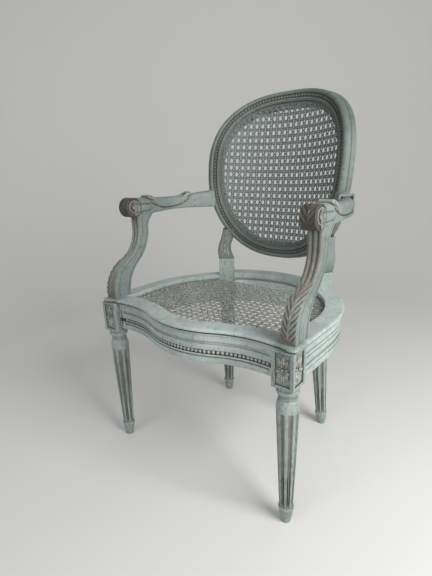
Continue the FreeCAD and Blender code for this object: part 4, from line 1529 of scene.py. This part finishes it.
@dataclass
class Arm:
    """Saddle-topped arm with a scroll in front, curls where the pad ends, bending in to the hoop."""

    back: OvalBack = field(default_factory=OvalBack)
    start_y: float = LEG_LINE + 84.0
    straight: float = 116.0
    centre_z: float = 664.0
    half: float = 17.0
    drum_radius: float = 26.0
    drum_half: float = 14.6
    leaflets: int = 10
    leaf_cut: float = 2.4
    leaf_runs: tuple[float, float] = (59.0, 214.0)
    swag_run: tuple[float, float] = (62.0, 212.0)
    end_z: float = 671.0
    end_short: float = 14.0

    def __post_init__(self) -> None:
        """Work out the bend that ends in the middle of the hoop's side."""
        up = (self.end_z - self.back.middle) / math.cos(self.back.rake)
        angle = math.copysign(math.asin(abs(up / self.back.half_height) ** (self.back.power / 2)), up)
        goal = self.back.inside(angle, 23, 16)
        inward, rear = ARM_X - goal.x, goal.y - (self.start_y + self.straight)
        self.radius = (inward ** 2 + rear ** 2) / (2 * inward)
        self.run = self.straight + self.radius * math.atan2(rear, self.radius - inward)

    def place(self, run: float) -> tuple[Vector, Vector]:
        """Point and direction on the arm's middle line.

        Args:
            run: distance from the scroll's centre along the arm.

        Returns:
            The point at floor height, and the direction there.
        """
        if run <= self.straight:
            return Vector((ARM_X, self.start_y + run, 0)), Vector((0, 1, 0))
        turn = (run - self.straight) / self.radius
        centre = Vector((ARM_X - self.radius, self.start_y + self.straight, 0))
        out = Vector((math.cos(turn), math.sin(turn), 0))
        return centre + out * self.radius, Vector((-math.sin(turn), math.cos(turn), 0))

    def top(self, run: float) -> float:
        """Height of the saddle top."""
        share = run / self.run
        return 689.6 - 7.0 * math.sin(math.pi * min(share / 1.02, 1)) ** 1.3 + 5.5 * max(share - 0.55, 0) / 0.45

    def foot(self, run: float) -> float:
        """Height of the underside."""
        share = run / self.run
        return 640.5 + 4.5 * math.sin(math.pi * share) ** 2 + 2.0 * share

    def ring(self, run: float) -> list[Vector]:
        """Section of the arm: a moulded foot, a groove and a cushioned top.

        Args:
            run: distance from the scroll's centre.

        Returns:
            One closed ring.
        """
        place, ahead = self.place(run)
        across = Vector((ahead.y, -ahead.x, 0))
        low, high = self.foot(run), self.top(run)
        half = self.half
        pad = high - low
        cut = max(min((66 - run) / 8, 1), 0)
        side = [
            (half - 3.5, 0), (half - 1.2, 0.6), (half, 2.6), (half, 8), (half - 0.8 * cut, 9.2),
            (half - 2.4 * cut, 10), (half - 2.4 * cut, 11.6), (half - 0.4 * cut, 12.4), (half, 14),
            (half, pad - 20), (half - 0.6 * cut, pad - 18.8), (half - 1.9 * cut, pad - 18),
            (half - 1.9 * cut, pad - 16.6), (half - 0.5 * cut, pad - 15.6), (half, pad - 14),
            (half - 0.4, pad - 9), (half - 2.6, pad - 4.6), (half - 6.5, pad - 1.7), (half - 11.5, pad - 0.3),
        ]
        plan = side + [(0, pad)] + [(-x, z) for x, z in reversed(side)]
        return [place + across * x + Vector((0, 0, low + z)) for x, z in plan]

    def scroll(self, draft: Draft) -> None:
        """Rolled front: a drum across the arm with a volute on each end.

        Args:
            draft: draft to add to.
        """
        centre = Vector((ARM_X, self.start_y, self.centre_z))
        place = Matrix.Translation(centre) @ Matrix.Rotation(math.pi / 2, 4, "Y")
        radius, half, steps, rows = self.drum_radius, self.drum_half, 120, 21
        rim = [(22.5, 15.6), (23.6, 17.4), (25.0, 17.2), (radius, 15.6)]
        profile = [(0.02, -15.6)] + [(reach, -across) for reach, across in rim]
        profile += [(radius, -half + 2 * half * row / (rows - 1)) for row in range(rows)]
        profile += [*reversed(rim), (0.02, 15.6)]
        drum = turned(profile, place, steps)
        for ring, (_, across) in zip(drum[5:5 + rows], profile[5:5 + rows]):
            axis = place @ Vector((0, 0, across))
            for column, point in enumerate(ring):
                turn = 2 * math.pi * (self.leaflets * column / steps + 1.3 * abs(across) / half)
                leaflet = 0.5 + 0.5 * math.cos(turn)
                cut = self.leaf_cut * leaflet * min(max(abs(across) - 1.0, 0) / 1.6, 1)
                ring[column] = axis + (point - axis) * (1 - cut / radius)
        draft.skin(drum, 2)
        button = [(0.02, 14), (5.2, 14), (5.2, 16.6), (4.2, 17.8), (2.2, 18), (0.02, 18)]
        for sign in (-1, 1):
            draft.skin(turned(button, place @ Matrix.Scale(sign, 4, (0, 0, 1)), 28), 0)
            rings = []
            for index in range(97):
                share = index / 96
                turn = -math.pi / 2 - 2 * math.pi * 1.7 * share
                reach = 22.0 - 15.0 * share
                wide = 2.6 - 1.2 * share
                spot = centre + Vector((sign * 15.6, -reach * math.cos(turn), reach * math.sin(turn)))
                out = Vector((0, -math.cos(turn), math.sin(turn)))
                side = Vector((sign, 0, 0))
                rings.append([
                    spot + out * (wide * math.cos(step)) + side * (2.2 * math.sin(step))
                    for step in [index * math.pi / 4 for index in range(8)]
                ])
            draft.skin(rings, 0)

    def swag(self, draft: Draft, sign: int) -> None:
        """Add the raised line that hangs between the two leaves on one side of the arm, coated near-black as a
        painted shade line.

        Args:
            draft: draft to add to.
            sign: 1 for the outer side and -1 for the inner.
        """
        first, last = self.swag_run
        rings = []
        for index in range(61):
            share = index / 60
            run = first + (last - first) * share
            place, ahead = self.place(run)
            across = Vector((ahead.y, -ahead.x, 0)) * sign
            low, high = self.foot(run), self.top(run)
            rise = 0.24 + 0.50 * abs(2 * share - 1) ** 2.4
            spot = place + across * (self.half + 0.1) + Vector((0, 0, low + (high - low) * rise))
            turns = [step * math.pi / 4 for step in range(8)]
            rings.append([
                spot + across * (1.5 * math.cos(turn)) + Vector((0, 0, 1.7 * math.sin(turn))) for turn in turns
            ])
        # The line takes the near-black roll coat: a painted shade line along the carving.
        draft.skin(rings if sign > 0 else rings[::-1], 2)

    def curl(self, draft: Draft, run: float) -> None:
        """Add the curl of a leaf lying across the arm, with bands running down both sides.

        Args:
            draft: draft to add to.
            run: distance of the curl from the scroll's centre.
        """
        place, ahead = self.place(run)
        across = Vector((ahead.y, -ahead.x, 0))
        top = self.top(run) + 6.6
        middle = place + Vector((0, 0, top - 5.6))
        frame = Matrix((
            (-ahead.x, 0, across.x, middle.x), (-ahead.y, 0, across.y, middle.y),
            (0, 1, 0, middle.z), (0, 0, 0, 1),
        ))
        profile = [(0.02, -18.0), (2.6, -18.0), (2.9, -17.2), (3.6, -17.4), (5.0, -16.4), (5.8, -14.4)]
        profile += [(5.9 - (0.8 if step % 2 else 0), -12 + 24 * step / 8) for step in range(9)]
        profile += [(5.8, 14.4), (5.0, 16.4), (3.6, 17.4), (2.9, 17.2), (2.6, 18.0), (0.02, 18.0)]
        draft.skin(turned(profile, frame, 28), 1)
        for sign in (-1, 1):
            rings = []
            for index in range(25):
                share = index / 24
                travel = 30 * math.sin(share * math.pi / 2)
                spot, way = self.place(run + (travel if run < 100 else -travel))
                out = Vector((way.y, -way.x, 0)) * sign
                z = top - 6 - (top - self.foot(run) - 10) * (1 - math.cos(share * math.pi / 2))
                wide = 5.6 - 2.2 * share
                slope = Vector((0, 0, -1)) * share + way * (1 - share) * (1 if run < 100 else -1)
                normal = slope.normalized().cross(out)
                centre = spot + out * (self.half - 1.2) + Vector((0, 0, z))
                rings.append([
                    centre + normal * (wide * math.cos(turn)) + out * (2.9 * math.sin(turn))
                    for turn in [2 * math.pi * step / 8 for step in range(8)]
                ])
            draft.skin(rings, 1)

    def build(self) -> Draft:
        """Right arm."""
        draft = Draft()
        end = self.run - self.end_short
        draft.skin([self.ring(end * index / 72) for index in range(73)])
        self.scroll(draft)
        for run in self.leaf_runs:
            self.curl(draft, run)
        for sign in (-1, 1):
            self.swag(draft, sign)
        return draft

    def dress(self, paint: Sequence[bpy.types.Material]) -> list[Dressed]:
        """Finish both arms."""
        return both_sides(self.build(), "arm", paint)


@dataclass
class ArmSupport:
    """S-shaped support, reeded at its head and carved with a leaf at its foot."""

    front_foot: float = LEG_LINE - 13.0
    back_foot: float = LEG_LINE + 45.0
    sweep: float = 106.0
    neck_z: float = 606.0
    foot_z: float = 430.0
    rise: float = 214.0
    half: float = 17.0
    heel: float = 16.0
    head_set: float = 129.0
    flare: float = 26.0
    leaf_foot: float = 434.0
    leaf_head: float = 530.0
    leaf_cut: float = 1.7
    reed_cut: float = 3.4

    def swept(self, foot_y: float, foot_z: float, head_y: float, head_z: float, z: float) -> float:
        """Depth of a double arc.

        Args:
            foot_y: depth at its foot.
            foot_z: height of its foot.
            head_y: depth at its head.
            head_z: height of its head.
            z: height of the wished point.

        Returns:
            The depth at that height.
        """
        z = min(max(z, foot_z), head_z)
        across, tall = head_y - foot_y, head_z - foot_z
        radius = (across ** 2 + tall ** 2) / (4 * across)
        if z <= (foot_z + head_z) / 2:
            return foot_y + radius - math.sqrt(radius ** 2 - (z - foot_z) ** 2)
        return head_y - radius + math.sqrt(radius ** 2 - (head_z - z) ** 2)

    def ring(self, z: float) -> list[Vector]:
        """Section of the support at a height.

        Args:
            z: height above the floor.

        Returns:
            One closed ring.
        """
        heel, front_head = self.foot_z + self.heel, self.front_foot + self.sweep
        front = self.swept(self.front_foot, heel, front_head, self.neck_z, z)
        head_back = LEG_LINE + self.head_set
        back = self.swept(self.back_foot, self.foot_z, head_back, self.neck_z, z)
        if z > self.neck_z:
            back = head_back + self.flare * ((z - self.neck_z) / 40.0) ** 2
        waist = 0.0 if z < 444 else 1.6 * math.sin(math.pi * min((z - 444) / 150, 1))
        half = self.half - waist
        ring = []
        reeds = max(min((z - self.leaf_head) / 16, 1), 0)
        leaf = (1 - reeds) * max(min((z - self.leaf_foot) / 10, 1), 0)
        climb = (z - self.leaf_foot) / (self.leaf_head - self.leaf_foot)
        for step in range(19):
            share = step / 18
            side = abs(2 * share - 1)
            x = -half + 2 * half * share
            wave = (self.reed_cut * abs(math.sin(share * math.pi * 3)) - 0.8) * reeds
            rib = 1.6 * math.exp(-(side / 0.16) ** 2)
            lobes = math.sin(math.pi * (climb * 15.0 - side * 3.4)) * min(max(side - 0.06, 0) / 0.10, 1)
            crown = 2.6 * (1 - side ** 2)
            ring.append(Vector((
                ARM_X + x, front + 4.2 - wave - (crown + rib + self.leaf_cut * lobes) * leaf, z,
            )))
        depth = back - front
        fore = depth * 0.3
        lines = [
            (fore, 0.0), (fore + 1, 1.1), (fore + 2.4, 1.1), (fore + 3.4, 0.0), (depth - 10, 0.0),
            (depth - 9, 1.4), (depth - 7, 1.4), (depth - 6, 0.0), (depth - 1, 0.0),
        ]
        ring += [Vector((ARM_X + half - sink, front + y, z)) for y, sink in lines]
        ring.append(Vector((ARM_X + half - 1, back, z)))
        ring.append(Vector((ARM_X - half + 1, back, z)))
        ring += [Vector((ARM_X - half + sink, front + y, z)) for y, sink in reversed(lines)]
        return ring

    def build(self) -> Draft:
        """Right support with its tenons."""
        draft = Draft()
        steps = 160
        rings = [self.ring(self.foot_z + self.rise * index / steps) for index in range(steps + 1)]
        draft.skin(rings, 0, band(0, 18, 3))
        foot = Matrix.Translation((LEG_X, LEG_LINE + 5.8, 0))
        draft.skin(slab((-5, -11, 414), (5, 11, 432), 0.5, foot))
        head = Matrix.Translation((ARM_X, LEG_LINE + 109.2, 0))
        draft.skin(slab((-5, -11, 636), (5, 11, 654), 0.5, head))
        return draft

    def dress(self, paint: Sequence[bpy.types.Material]) -> list[Dressed]:
        """Finish both supports."""
        return both_sides(self.build(), "arm_support", paint)


@dataclass(frozen=True)
class Pegs:
    """Pegs of the frame, which keep the shape of their solids."""

    names: tuple[str, ...] = ("seat_frame_pegs", "back_hoop_pegs", "arm_pegs")

    def dress(self, material: bpy.types.Material) -> None:
        """Give the pegs their finish."""
        for name in self.names:
            node = frame["nodes"][name]
            node.data.materials.clear()
            node.data.materials.append(material)
            log.info("%s: finished", name)


class Palette:
    """The chair's finishes, each made once and shared by its pieces."""

    def __init__(self) -> None:
        """Make every finish."""
        rail = PaintedWood("painted_wood_rail").make()
        bead = PaintedWood(
            "painted_wood_bead", light=(0.38, 0.41, 0.37), cool=(0.24, 0.26, 0.23), edge=0.6,
        ).make()
        # Near-black brown coat of the arm's scroll drum, and of the swags, where it is a painted shade line.
        roll = PaintedWood(
            "painted_wood_roll", light=(0.075, 0.07, 0.056), cool=(0.036, 0.031, 0.025), edge=0.35, rub=0.2,
        ).make()
        # Dark brown worn paint of the carved fronts; in the flutes of the legs it also serves as painted shade.
        carved = PaintedWood(
            "painted_wood_carved", light=(0.215, 0.235, 0.21), cool=(0.12, 0.10, 0.078),
            rub=0.5, edge=0.9, chips=0.7, reach=0.006,
        ).make()
        spray = PaintedWood(
            "painted_wood_spray", light=(0.46, 0.50, 0.45), cool=(0.30, 0.33, 0.29), edge=0.7, reach=0.005,
        ).make()
        leg = PaintedWood(
            "painted_wood_leg", light=(0.31, 0.365, 0.345), cool=(0.18, 0.215, 0.205),
            rub=0.6, edge=0.9, chips=0.5,
        ).make()
        # Arms, their supports and the arms' curls get a darker copy of the paint than the rails: painted shade,
        # a middle tone between the shaded arm and the lit one.
        arm = PaintedWood(
            "painted_wood_arm", light=(0.20, 0.24, 0.228), cool=(0.125, 0.152, 0.146), rub=0.3, edge=0.8,
        ).make()
        leaf = PaintedWood(
            "painted_wood_leaf", light=(0.25, 0.29, 0.27), cool=(0.16, 0.185, 0.17), edge=0.6,
        ).make()
        # Near-black brown coat of the bead channels: painted shade behind and between the beads.
        channel = PaintedWood(
            "painted_wood_channel", light=(0.085, 0.075, 0.06), cool=(0.04, 0.036, 0.03), chips=0.6,
        ).make()
        # The hoop, its beads and the posts' necks get a far darker copy of the paint than the rails, with a
        # wider reach for the shade in hollows: painted shade on the back.
        hoop = PaintedWood(
            "painted_wood_hoop", light=(0.145, 0.178, 0.165), cool=(0.088, 0.110, 0.100),
            groove=(0.03, 0.028, 0.022), reach=0.012, edge=0.7, rub=0.4,
        ).make()
        hoop_bead = PaintedWood(
            "painted_wood_hoop_bead", light=(0.15, 0.165, 0.14), cool=(0.09, 0.095, 0.08),
            edge=0.3, reach=0.004,
        ).make()
        self.rail = [rail, bead, roll, channel]
        self.leg = [leg, spray, roll, carved]
        self.post = [hoop, leg, leg, channel, carved]
        self.hoop = [hoop, hoop_bead, channel]
        self.arm = [arm, leaf, roll, carved]
        # The back's cane gets a darker copy of the cane's tone than the seat's: painted shade on the back.
        self.back_cane = WovenCane("painted_cane_back", light=(0.185, 0.218, 0.21)).make()
        self.seat_cane = WovenCane(
            "painted_cane_seat", light=(0.46, 0.48, 0.43), dark=(0.07, 0.073, 0.062),
        ).make()
        # Near-black of the drilled holes: painted shade.
        self.pit = Plain("hole_painted_shade", (0.02, 0.018, 0.014)).make()
        self.peg = Plain("peg_finish", (0.16, 0.11, 0.07)).make()


# Studio.


@dataclass
class Studio:
    """Camera, soft lights and the pale floor."""

    floor: Point = (0.69, 0.685, 0.67)
    sky: Point = (0.60, 0.60, 0.585)
    glow: float = 0.34
    eye: Point = (0.618, -0.8734, 0.766)
    swing: float = 39.21
    dip: float = 16.77
    roll: float = -2.13
    lens: float = 25.44

    def camera(self) -> bpy.types.Object:
        """Camera standing where the photograph was taken from."""
        swing, dip, roll = math.radians(self.swing), math.radians(self.dip), math.radians(self.roll)
        ahead = Vector((-math.sin(swing) * math.cos(dip), math.cos(swing) * math.cos(dip), -math.sin(dip)))
        right = Vector((math.cos(swing), math.sin(swing), 0))
        up = right.cross(ahead)
        side = right * math.cos(roll) + up * math.sin(roll)
        rise = up * math.cos(roll) - right * math.sin(roll)
        data = bpy.data.cameras.new("view_camera")
        data.lens = self.lens
        data.sensor_width = 36.0
        made = bpy.data.objects.new("view_camera", data)
        columns = zip(side, rise, -ahead)
        rows = [[*row, self.eye[index]] for index, row in enumerate(columns)]
        made.matrix_world = Matrix([*rows, [0, 0, 0, 1]])
        bpy.context.scene.collection.objects.link(made)
        bpy.context.scene.camera = made
        return made

    def lamp(self, name: str, place: Point, aim: Point, width: float, watts: float, colour: Point) -> None:
        """Add one soft area light.

        Args:
            name: object name.
            place: where it stands, in metres.
            aim: point that it faces.
            width: width of its square, in metres.
            watts: strength.
            colour: colour of its light.
        """
        data = bpy.data.lights.new(name, "AREA")
        data.size = width
        data.energy = watts
        data.color = colour
        made = bpy.data.objects.new(name, data)
        made.location = place
        made.rotation_euler = (Vector(aim) - Vector(place)).to_track_quat("-Z", "Y").to_euler()
        bpy.context.scene.collection.objects.link(made)

    def build(self) -> None:
        """Set the scene up."""
        self.camera()
        self.lamp("window_light", (1.6, -0.3, 1.3), (0, 0, 0.5), 1.0, 38.0, (1.0, 0.99, 0.97))
        self.lamp("fill_light", (0.2, -2.8, 2.0), (0, 0, 0.5), 2.2, 26.0, (0.97, 0.985, 1.0))
        self.lamp("wall_light", (-0.5, 1.0, 2.4), (-1.9, 2.4, 0.9), 1.2, 6.0, (1.0, 1.0, 1.0))
        world = bpy.data.worlds.new("pale_room")
        world.use_nodes = True
        nodes, links = world.node_tree.nodes, world.node_tree.links
        light = nodes["Background"]
        light.inputs["Color"].default_value = (0.95, 0.97, 1.0, 1)
        light.inputs["Strength"].default_value = self.glow
        seen = nodes.new("ShaderNodeBackground")
        seen.inputs["Color"].default_value = (*self.sky, 1)
        seen.inputs["Strength"].default_value = 1.0
        rays = nodes.new("ShaderNodeLightPath")
        mix = nodes.new("ShaderNodeMixShader")
        links.new(rays.outputs["Is Camera Ray"], mix.inputs["Fac"])
        links.new(light.outputs[0], mix.inputs[1])
        links.new(seen.outputs[0], mix.inputs[2])
        links.new(mix.outputs[0], nodes["World Output"].inputs["Surface"])
        bpy.context.scene.world = world
        bpy.context.scene.view_settings.view_transform = "Standard"
        self.ground().piece("stage_floor", [Plain("floor_finish", self.floor, 0.85).make()])

    def ground(self) -> Draft:
        """Floor that sweeps up into a backdrop behind the chair."""
        draft = Draft()
        draft.skin([
            [Vector((x, y, z)) for x, y in ((-4000, -4000), (4000, -4000), (4000, 4000), (-4000, 4000))]
            for z in (-20.0, 0.0)
        ])
        profile = [(1500.0, -10.0), (1500.0, 0.2)]
        for step in range(1, 25):
            turn = math.pi / 2 * step / 24
            profile.append((1500 + 1500 * math.sin(turn), 0.2 + 1500 * (1 - math.cos(turn))))
        profile += [(3000.0, 5200.0), (3060.0, 5200.0), (3060.0, -10.0)]
        rings = []
        for step in range(61):
            turn = math.radians(129.2 - 85 + 170 * step / 60)
            rings.append([Vector((r * math.cos(turn), r * math.sin(turn), z)) for r, z in profile])
        draft.skin(rings)
        return draft


def main() -> None:
    """Build the chair's looks in order."""
    logging.basicConfig(level=logging.INFO)
    palette = Palette()
    repeat = Repeat("set_on_spots", 12, 8)
    coarse = Repeat("set_holes_on_spots", 8, 4)
    hoop = OvalHoop()
    pieces = [
        *SeatFrame().dress(palette.rail, repeat),
        *FrontLeg().dress(palette.leg),
        *BackPost(TurnedLeg(), hoop).dress(palette.post),
        *hoop.dress(palette.hoop, palette.pit, repeat, coarse),
        *CanePanel.of_back(hoop.back).dress("back_cane", palette.back_cane),
        *CanePanel.of_seat(SeatPlan()).dress("seat_cane", palette.seat_cane),
        *Arm().dress(palette.arm),
        *ArmSupport().dress(palette.arm),
    ]
    Pegs().dress(palette.peg)

    for made, finish, nodes in pieces:
        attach(made, "root")
        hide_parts(*nodes)
        log.info("%s: %d triangles", made.name, sum(len(face.vertices) - 2 for face in made.data.polygons))
    Studio().build()


if __name__ == "__main__":
    main()
